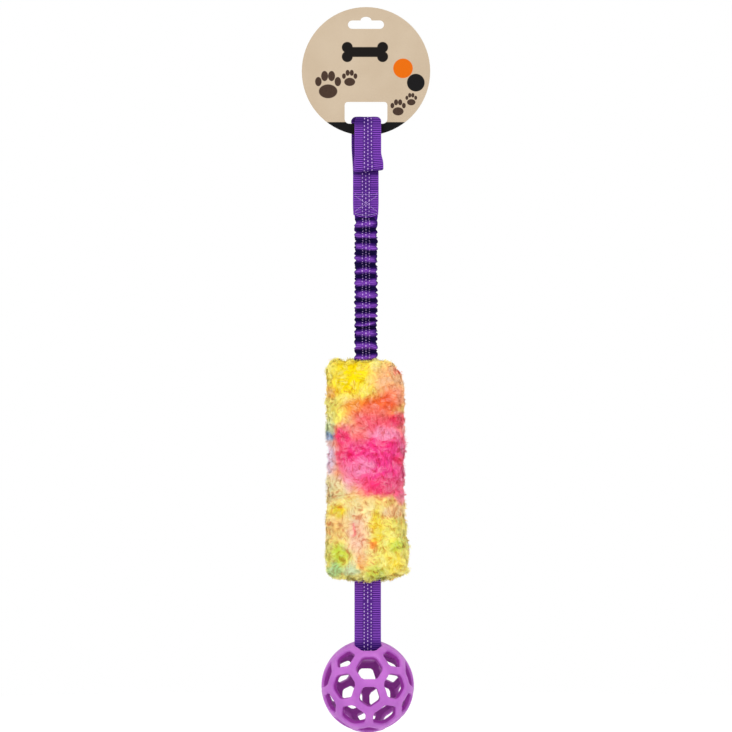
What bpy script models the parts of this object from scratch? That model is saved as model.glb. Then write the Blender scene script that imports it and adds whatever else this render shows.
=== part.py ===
"""A dog tug toy that hangs on its round header card.

The card hangs from its slot. A webbing handle is folded over the card's bottom bar, and carries a
gathered bungee, a padded fur sleeve and a rubber lattice ball on a webbing strap.

World axes: +Z up, -Y towards the viewer. The origin is the top of the card's hang slot, in the
middle of the card's thickness. Every length is in metres and every angle in radians.
"""

from math import copysign, cos, hypot, pi, radians, sin

import bmesh
import bpy
from mathutils import Matrix, Vector

# Clearance between neighbouring pieces
CLEAR = 0.0003

# Webbing of the handle, the sleeve's load webbing and the ball strap
WEB_WIDTH = 0.025
WEB_THICK = 0.0015

# Header card: a disc with a hang slot near its top and a window near its foot
CARD_RADIUS = 0.061
CARD_THICK = 0.0008
CARD_RIM_ABOVE_SLOT = 0.0092
SLOT_WIDTH = 0.0343
SLOT_HEIGHT = 0.0080
SLOT_ARCH_WIDTH = 0.0105
SLOT_ARCH_RISE = 0.0035
WINDOW_WIDTH = 0.0406
WINDOW_HEIGHT = 0.0207
WINDOW_TOP_CORNER = 0.0030
WINDOW_FOOT_CORNER = 0.0045
BAR_HEIGHT = 0.0112

# Handle: one strap folded over the card's bar, with both ends sewn at the seam below it
FOLD_INNER_RADIUS = 0.0015
FOLD_OUTER_RADIUS = 0.0050
FOLD_RISE = 0.0068
BAR_SWING_ROOM = 0.0031
DRAPE_START = 0.0070
SEAM_HEIGHT = 0.0262
SEAM_SPREAD = 0.0050
SEAM_BOW = 0.0025
HANDLE_DROP = 0.0780

# Grip loop: the free end of the handle's loop, in front of the card's bar
GRIP_LENGTH = 0.0527
EYE_RADIUS = 0.0035
EYE_NECK = 0.0145

# Bungee: flat elastic inside two gathered covers
BUNGEE_WIDTH = 0.021
COVER_THICK = 0.0012
RUCHE_COUNT = 13
RUCHE_PITCH = 0.0106
RUCHE_DEPTH = 0.0060
CORE_WIDTH = 0.016
CORE_THICK = 0.0024
TAB_HEIGHT = 0.0220
TAIL_HEIGHT = 0.0066

# Shape of a gathered cover: its wave's power, how much lower it stands at its sides, and the flat
# and the rising stretch at each end, counted in pleats
RUCHE_POWER_SHARE = 0.75
RUCHE_SIDE_DROP_SHARE = 0.25
RUCHE_FLAT_SHARE = 0.125
RUCHE_RISE_SHARE = 0.333

# Fur sleeve, its padding and the load webbing inside it
SLEEVE_LENGTH = 0.211
SLEEVE_WIDTH = 0.0765
SLEEVE_DEPTH = 0.048
FUR_THICK = 0.006
MOUTH_WIDTH = 0.0285
MOUTH_ROOM = 0.0006
PAD_SIDE_GAP = 0.00325
PAD_FACE_GAP = 0.0035
PAD_TOP_GAP = 0.010
PAD_FOOT_GAP = 0.007

# Rounded rectangles are ellipses drawn with a power below 1
SLEEVE_POWER_SHARE = 0.8
MOUTH_POWER_SHARE = 0.3
LOOP_POWER_SHARE = 0.6

# The sleeve from its upper mouth to its lower one: height above its foot as a share of its
# length, then half width and half depth as shares of half the sleeve's width and depth
SLEEVE_SHARES = (
    (0.994, 0.53, 0.46),
    (1.000, 0.78, 0.72),
    (0.970, 0.95, 0.92),
    (0.890, 0.98, 0.97),
    (0.650, 0.96, 0.95),
    (0.400, 0.98, 0.97),
    (0.180, 1.03, 1.02),
    (0.060, 1.02, 1.00),
    (0.005, 0.91, 0.84),
    (-0.004, 0.66, 0.54),
)

# A pad from its top to its foot: place along its length, then width and depth, all as shares
PAD_SHARES = (
    (0.00, 0.70, 0.45),
    (0.06, 0.92, 0.80),
    (0.20, 1.00, 1.00),
    (0.50, 0.98, 0.97),
    (0.80, 1.04, 1.05),
    (0.94, 1.00, 0.90),
    (1.00, 0.75, 0.50),
)

# Ball strap, from the sleeve's foot to the neck of the loop round the ball's rim
STRAP_SHOWN = 0.0563
STRAP_END_RISE = 0.0025

# Ball loop: its legs go through the holes in front of the ball's rim and behind it
LOOP_NECK_REACH = 0.0610
LOOP_STAND = 0.0069
LOOP_DEPTH = 0.0085
LOOP_SIDE_RISE = 0.0020
LOOP_SHOULDER = 0.0050
LOOP_WIDTH = 0.0200

# Lattice ball: two like halves that meet at a rim, the front one's middle hole turned a little
# down and to the right
BALL_RADIUS = 0.044
BALL_TILT = radians(9.0)
BALL_TURN = radians(2.5)
STRUT_WIDTH = 0.0066
STRUT_THICK = 0.0060
STRUT_ROUND = 0.0010
HOLE_CORNER = 0.0016
STRUT_EDGE_ANGLE = radians(50)
CORNER_CUT_PERCENT = 34.5
SIDE_STEP = 0.0089
SHUT_CELL_SIDES = 4

# Looks: name, colour and roughness
KRAFT_LOOK = ("kraft card", (0.60, 0.47, 0.33), 0.85)
WEBBING_LOOK = ("purple webbing", (0.10, 0.03, 0.33), 0.75)
GATHERED_LOOK = ("gathered webbing", (0.14, 0.05, 0.38), 0.70)
ELASTIC_LOOK = ("elastic", (0.04, 0.03, 0.06), 0.80)
FUR_LOOK = ("tie-dye fur", (0.90, 0.42, 0.38), 0.95)
WADDING_LOOK = ("wadding", (0.85, 0.84, 0.80), 0.95)
RUBBER_LOOK = ("purple rubber", (0.50, 0.16, 0.66), 0.55)

# Two layers of webbing that lie together: half the distance between their middles, half their
# thickness, and the reach of their end's corners when it swings about an axis below it
PLY_HALF = (WEB_THICK + CLEAR) / 2
STACK_HALF = WEB_THICK + CLEAR / 2
STRAP_END_SWING = hypot(STACK_HALF, STRAP_END_RISE)

PAD_WIDTH = SLEEVE_WIDTH - 2 * (FUR_THICK + PAD_SIDE_GAP)
PAD_DEPTH = SLEEVE_DEPTH / 2 - FUR_THICK - PAD_FACE_GAP - STACK_HALF - CLEAR

BALL_INNER_RADIUS = BALL_RADIUS - STRUT_THICK
RIM_RADIUS = BALL_RADIUS - STRUT_THICK / 2
RIM_Y = -RIM_RADIUS * sin(BALL_TILT)

# Levels that follow from the sizes, from the card down to the ball
CARD_CENTRE_Z = CARD_RIM_ABOVE_SLOT - CARD_RADIUS
CARD_FOOT_Z = CARD_CENTRE_Z - CARD_RADIUS
BAR_TOP_Z = CARD_FOOT_Z + BAR_HEIGHT
WINDOW_CENTRE_Z = BAR_TOP_Z + WINDOW_HEIGHT / 2
FOLD_AXIS_Z = BAR_TOP_Z + CLEAR - FOLD_INNER_RADIUS
CROWN_Z = BAR_TOP_Z + FOLD_RISE
HANDLE_FOOT_Z = CARD_FOOT_Z - HANDLE_DROP
SEAM_TOP_Z = HANDLE_FOOT_Z + SEAM_HEIGHT
GRIP_FOOT_Z = CROWN_Z - GRIP_LENGTH
BUNGEE_AXIS_Z = HANDLE_FOOT_Z - CLEAR - CORE_THICK / 2
COVER_TOP_Z = HANDLE_FOOT_Z - CLEAR
COVER_FOOT_Z = COVER_TOP_Z - RUCHE_COUNT * RUCHE_PITCH
SLEEVE_AXIS_Z = COVER_FOOT_Z - CORE_THICK
TAIL_TOP_Z = SLEEVE_AXIS_Z - CORE_THICK / 2 + TAIL_HEIGHT
LOAD_WEB_TOP_Z = SLEEVE_AXIS_Z - CORE_THICK / 2 - CLEAR
SLEEVE_TOP_Z = COVER_FOOT_Z + RUCHE_PITCH / 2
SLEEVE_FOOT_Z = SLEEVE_TOP_Z - SLEEVE_LENGTH
PAD_TOP_Z = SLEEVE_TOP_Z - FUR_THICK - PAD_TOP_GAP
PAD_FOOT_Z = SLEEVE_FOOT_Z + FUR_THICK + PAD_FOOT_GAP
STRAP_AXIS_Z = SLEEVE_FOOT_Z - WEB_THICK
LOAD_WEB_FOOT_Z = STRAP_AXIS_Z + STRAP_END_SWING + CLEAR
BALL_CENTRE_Z = SLEEVE_FOOT_Z - STRAP_SHOWN - BALL_RADIUS
RIM_TOP_Z = BALL_CENTRE_Z + RIM_RADIUS * cos(BALL_TILT)
NECK_AXIS_Z = BALL_CENTRE_Z + LOOP_NECK_REACH

# How many steps draw each kind of curve
CIRCLE_STEPS = 72
CORNER_STEPS = 5
BEND_STEPS = 8
DRAPE_STEPS = 10
RUCHE_STEPS = 8
RUCHE_COLUMNS = 3
RING_STEPS = 16
PAD_STEPS = 8

# Places across a strip of webbing, from edge to edge: a bowed end needs points between
PLAIN_SHARES = (-1, 1)
BOWED_SHARES = (-1, -0.5, 0, 0.5, 1)


def clear_scene():
    """Remove whatever the scene holds."""
    for thing in list(bpy.data.objects):
        bpy.data.objects.remove(thing, do_unlink=True)


def material(name, colour, roughness):
    """A material that isn't metal."""
    made = bpy.data.materials.new(name)
    made.use_nodes = True
    shader = made.node_tree.nodes["Principled BSDF"]
    shader.inputs["Base Color"].default_value = (*colour, 1)
    shader.inputs["Roughness"].default_value = roughness
    shader.inputs["Metallic"].default_value = 0
    return made


def pivot(name, z, parent=None):
    """An empty on a joint's axis, at height z in the plane x = y = 0."""
    empty = bpy.data.objects.new(name, None)
    bpy.context.scene.collection.objects.link(empty)
    above = parent["world_z"] if parent else 0
    empty.parent = parent
    empty.location = (0, 0, z - above)
    empty["world_z"] = z
    return empty


def attach(piece, carrier, z=None):
    """Hang a piece on a pivot, its own origin at height z, or at the pivot if z is left out."""
    piece.parent = carrier
    if z is None:
        piece.data.transform(Matrix.Translation((0, 0, -carrier["world_z"])))
    else:
        piece.location = (0, 0, z - carrier["world_z"])


def smooth_step(share):
    """Ease from 0 to 1 as share goes from 0 to 1."""
    held = min(max(share, 0), 1)
    return held * held * (3 - 2 * held)


def arc(centre, radius, start, stop, steps):
    """Points from angle start to stop round a centre, both ends included."""
    turns = [start + (stop - start) * step / steps for step in range(steps + 1)]
    return [(centre[0] + radius * cos(turn), centre[1] + radius * sin(turn)) for turn in turns]


def object_from(collection, name, mesh_or_curve, look):
    """A new object in the toy's collection, with one material."""
    made = bpy.data.objects.new(name, mesh_or_curve)
    collection.objects.link(made)
    made.data.materials.append(look)
    return made


def add_solidify(piece, thickness, offset):
    """Give a surface its thickness."""
    solid = piece.modifiers.new("thickness", "SOLIDIFY")
    solid.thickness = thickness
    solid.offset = offset
    solid.use_even_offset = True


def add_subdivision(piece):
    """Round a coarse cage once."""
    rounder = piece.modifiers.new("rounding", "SUBSURF")
    rounder.levels = 1
    rounder.render_levels = 1


def flat_plate(collection, name, outlines, thickness, look):
    """A plate cut from closed outlines of (x, y) points: the first is its edge, the rest holes."""
    curve = bpy.data.curves.new(name, "CURVE")
    curve.dimensions = "2D"
    curve.fill_mode = "BOTH"
    curve.extrude = thickness / 2
    for outline in outlines:
        spline = curve.splines.new("POLY")
        spline.points.add(len(outline) - 1)
        for point, (x, y) in zip(spline.points, outline):
            point.co = (x, y, 0, 1)
        spline.use_cyclic_u = True
    return object_from(collection, name, curve, look)


def grid_mesh(name, rows, closed=False, capped=False):
    """Quads between rows of points. A closed row is a ring, and caps shut a tube's two ends."""
    shape = bmesh.new()
    corners = [[shape.verts.new(point) for point in row] for row in rows]
    count = len(rows[0])
    for upper, lower in zip(corners, corners[1:]):
        for column in range(count if closed else count - 1):
            after = (column + 1) % count
            shape.faces.new((upper[column], upper[after], lower[after], lower[column]))
    if capped:
        shape.faces.new(corners[0][::-1])
        shape.faces.new(corners[-1])
    bmesh.ops.recalc_face_normals(shape, faces=shape.faces)
    mesh = bpy.data.meshes.new(name)
    shape.to_mesh(mesh)
    shape.free()
    mesh.shade_smooth()
    return mesh


def ribbon(collection, name, path, look, half_widths=None, end_bow=0):
    """Webbing along a path of (y, z) points. A bowed end has its corners drawn back."""
    halves = half_widths or [WEB_WIDTH / 2] * len(path)
    shares = BOWED_SHARES if end_bow else PLAIN_SHARES
    rows = [[(share * half, y, z) for share in shares] for (y, z), half in zip(path, halves)]
    back = (Vector(path[-2]) - Vector(path[-1])).normalized() * end_bow
    rows[-1] = [
        (x, y + back.x * share**2, z + back.y * share**2) for share, (x, y, z) in zip(shares, rows[-1])
    ]
    strap = object_from(collection, name, grid_mesh(name, rows), look)
    add_solidify(strap, WEB_THICK, 0)
    return strap


def slot_outline():
    """The hang slot: a bar with round ends, and an arch over its middle."""
    half_bar = SLOT_HEIGHT / 2
    end = SLOT_WIDTH / 2 - half_bar
    middle = -SLOT_ARCH_RISE - half_bar
    arch = SLOT_ARCH_WIDTH / 2
    points = arc((end, middle), half_bar, -pi / 2, pi / 2, BEND_STEPS)
    for angle in (pi * step / BEND_STEPS for step in range(BEND_STEPS + 1)):
        points.append((arch * cos(angle), SLOT_ARCH_RISE * (sin(angle) - 1)))
    return points + arc((-end, middle), half_bar, pi / 2, 3 * pi / 2, BEND_STEPS)


def window_outline():
    """The window over the bar, with small corners at its top and larger ones at its foot."""
    points = []
    corners = (
        (1, 1, WINDOW_TOP_CORNER),
        (-1, 1, WINDOW_TOP_CORNER),
        (-1, -1, WINDOW_FOOT_CORNER),
        (1, -1, WINDOW_FOOT_CORNER),
    )
    for index, (side, level, radius) in enumerate(corners):
        centre = (
            side * (WINDOW_WIDTH / 2 - radius),
            WINDOW_CENTRE_Z + level * (WINDOW_HEIGHT / 2 - radius),
        )
        start = index * pi / 2
        points += arc(centre, radius, start, start + pi / 2, CORNER_STEPS)
    return points


def make_card(collection, look):
    """The round header card, upright in the plane y = 0."""
    rim = arc((0, CARD_CENTRE_Z), CARD_RADIUS, 0, 2 * pi, CIRCLE_STEPS)[:-1]
    outlines = [rim, slot_outline(), window_outline()]
    card = flat_plate(collection, "header_card", outlines, CARD_THICK, look)
    card.rotation_euler = (pi / 2, 0, 0)
    return card


def drape(z):
    """The y of the middle of the handle's two layers below the card, back to 0 at the seam."""
    behind = BAR_SWING_ROOM + WEB_THICK + CLEAR / 2
    start = CARD_FOOT_Z - DRAPE_START
    return behind * (1 - smooth_step((start - z) / (start - SEAM_TOP_Z)))


def handle_path(side, fold_radius, fold_centre_z):
    """One layer of the handle, from the fold's crown down its back to the seam's foot.

    side is -1 for the layer that touches the bar and 1 for the one behind it.
    """
    path = arc((0, fold_centre_z), fold_radius, pi / 2 - CLEAR / fold_radius, 0, BEND_STEPS // 2)
    path.append((drape(CARD_FOOT_Z) + side * PLY_HALF, CARD_FOOT_Z))
    start = CARD_FOOT_Z - DRAPE_START
    for step in range(DRAPE_STEPS + 1):
        z = start + (SEAM_TOP_Z + SEAM_SPREAD - start) * step / DRAPE_STEPS
        path.append((drape(z) + side * PLY_HALF, z))
    path.append((side * 2 * PLY_HALF, SEAM_TOP_Z))
    path.append((side * 2 * PLY_HALF, (SEAM_TOP_Z + HANDLE_FOOT_Z) / 2))
    path.append((side * 2 * PLY_HALF, HANDLE_FOOT_Z))
    return path


def make_handle(collection, carrier, look, cover_look):
    """Both layers of the handle, and the bungee's upper end sewn between them."""
    inner = FOLD_INNER_RADIUS + WEB_THICK / 2
    outer = FOLD_OUTER_RADIUS
    front = handle_path(-1, inner, FOLD_AXIS_Z)
    back = handle_path(1, outer, CROWN_Z - WEB_THICK / 2 - outer)
    attach(ribbon(collection, "handle_strap_front", front, look, end_bow=SEAM_BOW), carrier)
    attach(ribbon(collection, "handle_strap_back", back, look, end_bow=SEAM_BOW), carrier)
    tab_path = [(0, HANDLE_FOOT_Z + CLEAR + TAB_HEIGHT), (0, HANDLE_FOOT_Z + CLEAR)]
    halves = [BUNGEE_WIDTH / 2] * len(tab_path)
    attach(ribbon(collection, "bungee_tab", tab_path, cover_look, halves), carrier)


def make_grip(collection, carrier, look):
    """The free end of the loop: over the bar's front, down round its open eye and back up."""
    inner = FOLD_INNER_RADIUS + WEB_THICK / 2
    outer = FOLD_OUTER_RADIUS
    middle_y = -(BAR_SWING_ROOM + WEB_THICK + CLEAR / 2)
    eye = EYE_RADIUS + WEB_THICK / 2
    eye_z = GRIP_FOOT_Z + WEB_THICK / 2 + eye
    down = []
    for step in range(1, BEND_STEPS):
        share = step / BEND_STEPS
        spread = PLY_HALF + (eye - PLY_HALF) * smooth_step(share)
        down.append((spread, eye_z + EYE_NECK * (1 - share)))
    below_bar = [(PLY_HALF, CARD_FOOT_Z), (PLY_HALF, eye_z + EYE_NECK)]
    crown = pi / 2 + CLEAR / outer
    path = arc((0, FOLD_AXIS_Z), inner, pi / 2 + CLEAR / inner, pi, BEND_STEPS // 2)
    path += [(middle_y + spread, z) for spread, z in below_bar + down]
    path += arc((middle_y, eye_z), eye, 0, -pi, BEND_STEPS)
    path += [(middle_y - spread, z) for spread, z in (below_bar + down)[::-1]]
    fold_z = CROWN_Z - WEB_THICK / 2 - outer
    path += arc((0, fold_z), outer, pi, crown, BEND_STEPS // 2)
    attach(ribbon(collection, "grip_loop", path, look), carrier)


def elastic(collection, name, top_z, foot_z, look, round_top, round_foot):
    """A flat length of elastic whose hinged ends are round, drawn edge-on and extruded."""
    half = CORE_THICK / 2
    top = top_z - half if round_top else top_z
    foot = foot_z + half if round_foot else foot_z
    rounded = BEND_STEPS
    upper = arc((0, top), half, 0, pi, rounded) if round_top else [(half, top), (-half, top)]
    lower = arc((0, foot), half, pi, 2 * pi, rounded) if round_foot else [(-half, foot), (half, foot)]
    band = flat_plate(collection, name, [upper + lower], CORE_WIDTH, look)
    band.rotation_euler = (pi / 2, 0, pi / 2)
    return band


def ruche_offset(along, phase):
    """How far a gathered cover stands off the elastic, at a place counted in pleats."""
    wave = ((1 - cos(2 * pi * (along + phase))) / 2) ** RUCHE_POWER_SHARE
    from_end = min(along, RUCHE_COUNT - along)
    risen = (from_end - RUCHE_FLAT_SHARE) / RUCHE_RISE_SHARE
    return RUCHE_DEPTH * wave * min(1, max(0, risen))


def make_cover(collection, name, side, phase, carrier, look):
    """One gathered cover, on the side -1 or 1 of the elastic, its pleats highest in the middle."""
    base = CORE_THICK / 2 + CLEAR + COVER_THICK / 2
    half_step = 1 / (2 * RUCHE_STEPS)
    places = [half_step + step / RUCHE_STEPS for step in range(RUCHE_COUNT * RUCHE_STEPS)]
    rows = []
    for along in [0, *places, RUCHE_COUNT]:
        stand = ruche_offset(along, phase)
        row = []
        for column in range(RUCHE_COLUMNS + 1):
            share = 2 * column / RUCHE_COLUMNS - 1
            y = side * (base + stand * (1 - RUCHE_SIDE_DROP_SHARE * share**4))
            row.append((share * BUNGEE_WIDTH / 2, y, COVER_TOP_Z - along * RUCHE_PITCH))
        rows.append(row)
    cover = object_from(collection, name, grid_mesh(name, rows), look)
    add_solidify(cover, COVER_THICK, 0)
    attach(cover, carrier)


def signed_power(value, power):
    """A power that keeps the sign, for rounded rectangles."""
    return copysign(abs(value) ** power, value)


def oval_ring(half_width, half_depth, z, power_share):
    """A ring of points: an ellipse at power 1, and nearer to a rectangle the smaller it is."""
    ring = []
    for step in range(RING_STEPS):
        angle = 2 * pi * step / RING_STEPS
        x = half_width * signed_power(cos(angle), power_share)
        y = half_depth * signed_power(sin(angle), power_share)
        ring.append((x, y, z))
    return ring


def make_sleeve(collection, carrier, look):
    """The fur sleeve: a padded tube, drawn in round the webbing at its two mouths."""
    half_width = SLEEVE_WIDTH / 2
    half_depth = SLEEVE_DEPTH / 2
    mouth_half = MOUTH_WIDTH / 2
    mouth_depth = STACK_HALF + MOUTH_ROOM
    top_mouth_z = LOAD_WEB_TOP_Z - WEB_THICK
    foot_mouth_z = LOAD_WEB_FOOT_Z + WEB_THICK
    rings = [oval_ring(mouth_half, mouth_depth, top_mouth_z, MOUTH_POWER_SHARE)]
    for height, width_share, depth_share in SLEEVE_SHARES:
        width = half_width * width_share
        depth = half_depth * depth_share
        z = SLEEVE_FOOT_Z + height * SLEEVE_LENGTH
        rings.append(oval_ring(width, depth, z, SLEEVE_POWER_SHARE))
    rings.append(oval_ring(mouth_half, mouth_depth, foot_mouth_z, MOUTH_POWER_SHARE))
    sleeve = object_from(collection, "fur_sleeve", grid_mesh("fur_sleeve", rings, closed=True), look)
    add_subdivision(sleeve)
    add_solidify(sleeve, FUR_THICK, -1)
    attach(sleeve, carrier)


def pad_ring(side, width_share, depth_share, z):
    """A ring that is flat towards the load webbing and crowned towards the fur."""
    flat_y = side * (STACK_HALF + CLEAR)
    half = PAD_WIDTH / 2 * width_share
    ring = [(-half / 2, flat_y, z), (half / 2, flat_y, z)]
    for step in range(PAD_STEPS + 1):
        angle = pi * step / PAD_STEPS
        depth = CLEAR + PAD_DEPTH * depth_share * sin(angle)
        ring.append((half * cos(angle), flat_y + side * depth, z))
    return ring


def make_pad(collection, name, side, carrier, look):
    """Padding on one side of the load webbing, tapered at both ends."""
    rings = []
    for place, width_share, depth_share in PAD_SHARES:
        z = PAD_TOP_Z + place * (PAD_FOOT_Z - PAD_TOP_Z)
        rings.append(pad_ring(side, width_share, depth_share, z))
    mesh = grid_mesh(name, rings, closed=True, capped=True)
    pad = object_from(collection, name, mesh, look)
    add_subdivision(pad)
    attach(pad, carrier)


def make_load_webbing(collection, carrier, look):
    """The strap's two layers inside the sleeve, from the bungee's lower end to the sleeve's foot."""
    for name, side in (("load_webbing_front", -1), ("load_webbing_back", 1)):
        path = [(side * PLY_HALF, LOAD_WEB_TOP_Z), (side * PLY_HALF, LOAD_WEB_FOOT_Z)]
        attach(ribbon(collection, name, path, look), carrier)


def make_ball_strap(collection, carrier, look):
    """The strap's two layers between the sleeve's foot and the neck of the ball loop."""
    top = STRAP_AXIS_Z + STRAP_END_RISE
    foot = NECK_AXIS_Z + STRAP_END_SWING + CLEAR
    for name, side in (("ball_strap_front", -1), ("ball_strap_back", 1)):
        path = [(side * PLY_HALF, top), (side * PLY_HALF, foot)]
        attach(ribbon(collection, name, path, look), carrier)


def loop_leg(side):
    """One leg of the ball loop as (y, z, half width), from its neck down to beside the rim."""
    neck = NECK_AXIS_Z - RIM_TOP_Z
    start_y = side * PLY_HALF
    stop_y = RIM_Y + side * LOOP_STAND
    leg = [(start_y, NECK_AXIS_Z + STRAP_END_RISE, WEB_WIDTH / 2)]
    for step in range(DRAPE_STEPS):
        share = step / DRAPE_STEPS
        rise = neck + (LOOP_SIDE_RISE - neck) * share
        y = start_y + (stop_y - start_y) * smooth_step(share)
        opened = smooth_step((rise - LOOP_SHOULDER) / (neck - LOOP_SHOULDER))
        leg.append((y, RIM_TOP_Z + rise, (LOOP_WIDTH + (WEB_WIDTH - LOOP_WIDTH) * opened) / 2))
    return leg


def make_ball_loop(collection, carrier, look):
    """The webbing round the top of the ball's rim, drawn in where it passes through the holes."""
    under = []
    for step in range(2 * BEND_STEPS + 1):
        turn = pi * (1 + step / (2 * BEND_STEPS))
        y = RIM_Y + LOOP_STAND * signed_power(cos(turn), LOOP_POWER_SHARE)
        z = RIM_TOP_Z + LOOP_SIDE_RISE + LOOP_DEPTH * signed_power(sin(turn), LOOP_POWER_SHARE)
        under.append((y, z, LOOP_WIDTH / 2))
    around = loop_leg(-1) + under + loop_leg(1)[::-1]
    path = [(y, z) for y, z, half in around]
    attach(ribbon(collection, "ball_loop", path, look, [half for y, z, half in around]), carrier)


def ball_cells():
    """The corners of the ball's cells, flat and in order round each.

    The front half is that of a truncated icosahedron with a five-sided hole at the front, cut off
    along the rim. The back half is its mirror image.
    """
    shape = bmesh.new()
    bmesh.ops.create_icosphere(shape, subdivisions=1, radius=BALL_RADIUS)
    bmesh.ops.bevel(
        shape,
        geom=shape.verts[:],
        offset=CORNER_CUT_PERCENT,
        offset_type="PERCENT",
        segments=1,
        affect="VERTICES",
    )
    upright = Matrix.Rotation(pi / 2, 3, "X") @ Matrix.Rotation(-pi / 2, 3, "Z")
    bmesh.ops.rotate(shape, verts=shape.verts, matrix=upright)
    whole = shape.verts[:] + shape.edges[:] + shape.faces[:]
    bmesh.ops.bisect_plane(shape, geom=whole, plane_no=(0, 1, 0), clear_outer=True)
    front = [[corner.co.copy() for corner in face.verts] for face in shape.faces]
    shape.free()
    back = [[Vector((corner.x, -corner.y, corner.z)) for corner in corners] for corners in front]
    turned = Matrix.Rotation(BALL_TURN, 3, "Z") @ Matrix.Rotation(BALL_TILT, 3, "X")
    return [[turned @ corner for corner in corners] for corners in front + back]


def outer_point(point):
    """The place on the ball's outside over a point."""
    return point.normalized() * BALL_RADIUS


def inner_point(point):
    """The place on the ball's inside under a point."""
    return point.normalized() * BALL_INNER_RADIUS


def inset_corner(before, corner, after):
    """A cell's corner once its two sides have moved in by half a strut."""
    arriving = (corner - before).normalized()
    leaving = (after - corner).normalized()
    normal = arriving.cross(leaving).normalized()
    inward = normal.cross(arriving + leaving) / (1 + arriving.dot(leaving))
    return corner + inward * STRUT_WIDTH / 2


def side_points(start, stop, steps):
    """The points that divide a side into equal steps, its two ends with them."""
    return [start.lerp(stop, step / steps) for step in range(steps + 1)]


def hole_sides(corners):
    """For each side of a cell: its points, and as many along its hole, short of the cut corners."""
    befores = corners[-1:] + corners[:-1]
    afters = corners[1:] + corners[:1]
    hole = [inset_corner(*three) for three in zip(befores, corners, afters)]
    sides = []
    for start, stop, first, last in zip(corners, afters, hole, hole[1:] + hole[:1]):
        steps = max(1, round((stop - start).length / SIDE_STEP))
        cut = (last - first).normalized() * HOLE_CORNER
        sides.append((side_points(start, stop, steps), side_points(first + cut, last - cut, steps)))
    return sides


def open_cell_faces(corners):
    """The faces of an open cell's border: outside, inside and the wall round its hole."""
    sides = hole_sides(corners)
    faces = []
    for (edge, rim), (_, last_rim) in zip(sides, sides[-1:] + sides[:-1]):
        parts = [((edge[0],), (rim[0], last_rim[-1]))]
        for step in range(len(edge) - 1):
            parts.append((tuple(edge[step : step + 2]), (rim[step + 1], rim[step])))
        for outer_side, hole_side in parts:
            outside = [outer_point(point) for point in outer_side + hole_side]
            inside = [inner_point(point) for point in outer_side + hole_side]
            faces += [outside, inside, outside[-2:] + inside[:-3:-1]]
    return faces


def shut_cell_faces(corners):
    """The faces of a cell too low for a hole: outside and inside, both in spokes from its middle."""
    centre = sum(corners, Vector()) / len(corners)
    faces = []
    for start, stop in zip(corners, corners[1:] + corners[:1]):
        steps = max(1, round((stop - start).length / SIDE_STEP))
        points = side_points(start, stop, steps)
        for pair in zip(points, points[1:]):
            faces.append([outer_point(point) for point in pair + (centre,)])
            faces.append([inner_point(point) for point in pair + (centre,)])
    return faces


def lattice_mesh(name):
    """The ball's open lattice, between two spheres."""
    shape = bmesh.new()
    for corners in ball_cells():
        faces = shut_cell_faces(corners) if len(corners) == SHUT_CELL_SIDES else open_cell_faces(corners)
        for face in faces:
            shape.faces.new([shape.verts.new(point) for point in face])
    bmesh.ops.remove_doubles(shape, verts=shape.verts, dist=CLEAR)
    bmesh.ops.recalc_face_normals(shape, faces=shape.faces)
    mesh = bpy.data.meshes.new(name)
    shape.to_mesh(mesh)
    shape.free()
    mesh.shade_smooth()
    return mesh


def make_ball(collection, carrier, look):
    """The moulded rubber ball, its struts rounded along the holes."""
    ball = object_from(collection, "lattice_ball", lattice_mesh("lattice_ball"), look)
    edges = ball.modifiers.new("round struts", "BEVEL")
    edges.width = STRUT_ROUND
    edges.segments = 1
    edges.limit_method = "ANGLE"
    edges.angle_limit = STRUT_EDGE_ANGLE
    attach(ball, carrier, BALL_CENTRE_Z)


def main():
    """Build the toy, from the card that holds it up down to the ball."""
    clear_scene()
    toy = bpy.data.collections.new("dog_tug_toy")
    bpy.context.scene.collection.children.link(toy)
    purple = material(*WEBBING_LOOK)
    gathered = material(*GATHERED_LOOK)
    rubber_band = material(*ELASTIC_LOOK)
    wadding = material(*WADDING_LOOK)

    handle_pivot = pivot("handle_pivot", FOLD_AXIS_Z)
    grip_pivot = pivot("grip_pivot", CROWN_Z, handle_pivot)
    bungee_pivot = pivot("bungee_pivot", BUNGEE_AXIS_Z, handle_pivot)
    tail_slide = pivot("tail_slide", TAIL_TOP_Z, bungee_pivot)
    sleeve_pivot = pivot("sleeve_pivot", SLEEVE_AXIS_Z, tail_slide)
    strap_pivot = pivot("strap_pivot", STRAP_AXIS_Z, sleeve_pivot)
    ball_pivot = pivot("ball_pivot", NECK_AXIS_Z, strap_pivot)

    make_card(toy, material(*KRAFT_LOOK))
    make_handle(toy, handle_pivot, purple, gathered)
    make_grip(toy, grip_pivot, purple)

    core_top = BUNGEE_AXIS_Z + CORE_THICK / 2
    core = elastic(toy, "elastic_core", core_top, TAIL_TOP_Z + CLEAR, rubber_band, True, False)
    attach(core, bungee_pivot, 0)
    make_cover(toy, "bungee_cover_front", -1, 0, bungee_pivot, gathered)
    make_cover(toy, "bungee_cover_back", 1, 0.5, bungee_pivot, gathered)

    tail_foot = SLEEVE_AXIS_Z - CORE_THICK / 2
    tail = elastic(toy, "bungee_tail", TAIL_TOP_Z, tail_foot, rubber_band, False, True)
    attach(tail, tail_slide, 0)

    make_load_webbing(toy, sleeve_pivot, purple)
    make_pad(toy, "padding_front", -1, sleeve_pivot, wadding)
    make_pad(toy, "padding_back", 1, sleeve_pivot, wadding)
    make_sleeve(toy, sleeve_pivot, material(*FUR_LOOK))

    make_ball_strap(toy, strap_pivot, purple)
    make_ball_loop(toy, ball_pivot, purple)
    make_ball(toy, ball_pivot, material(*RUBBER_LOOK))


main()
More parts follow.
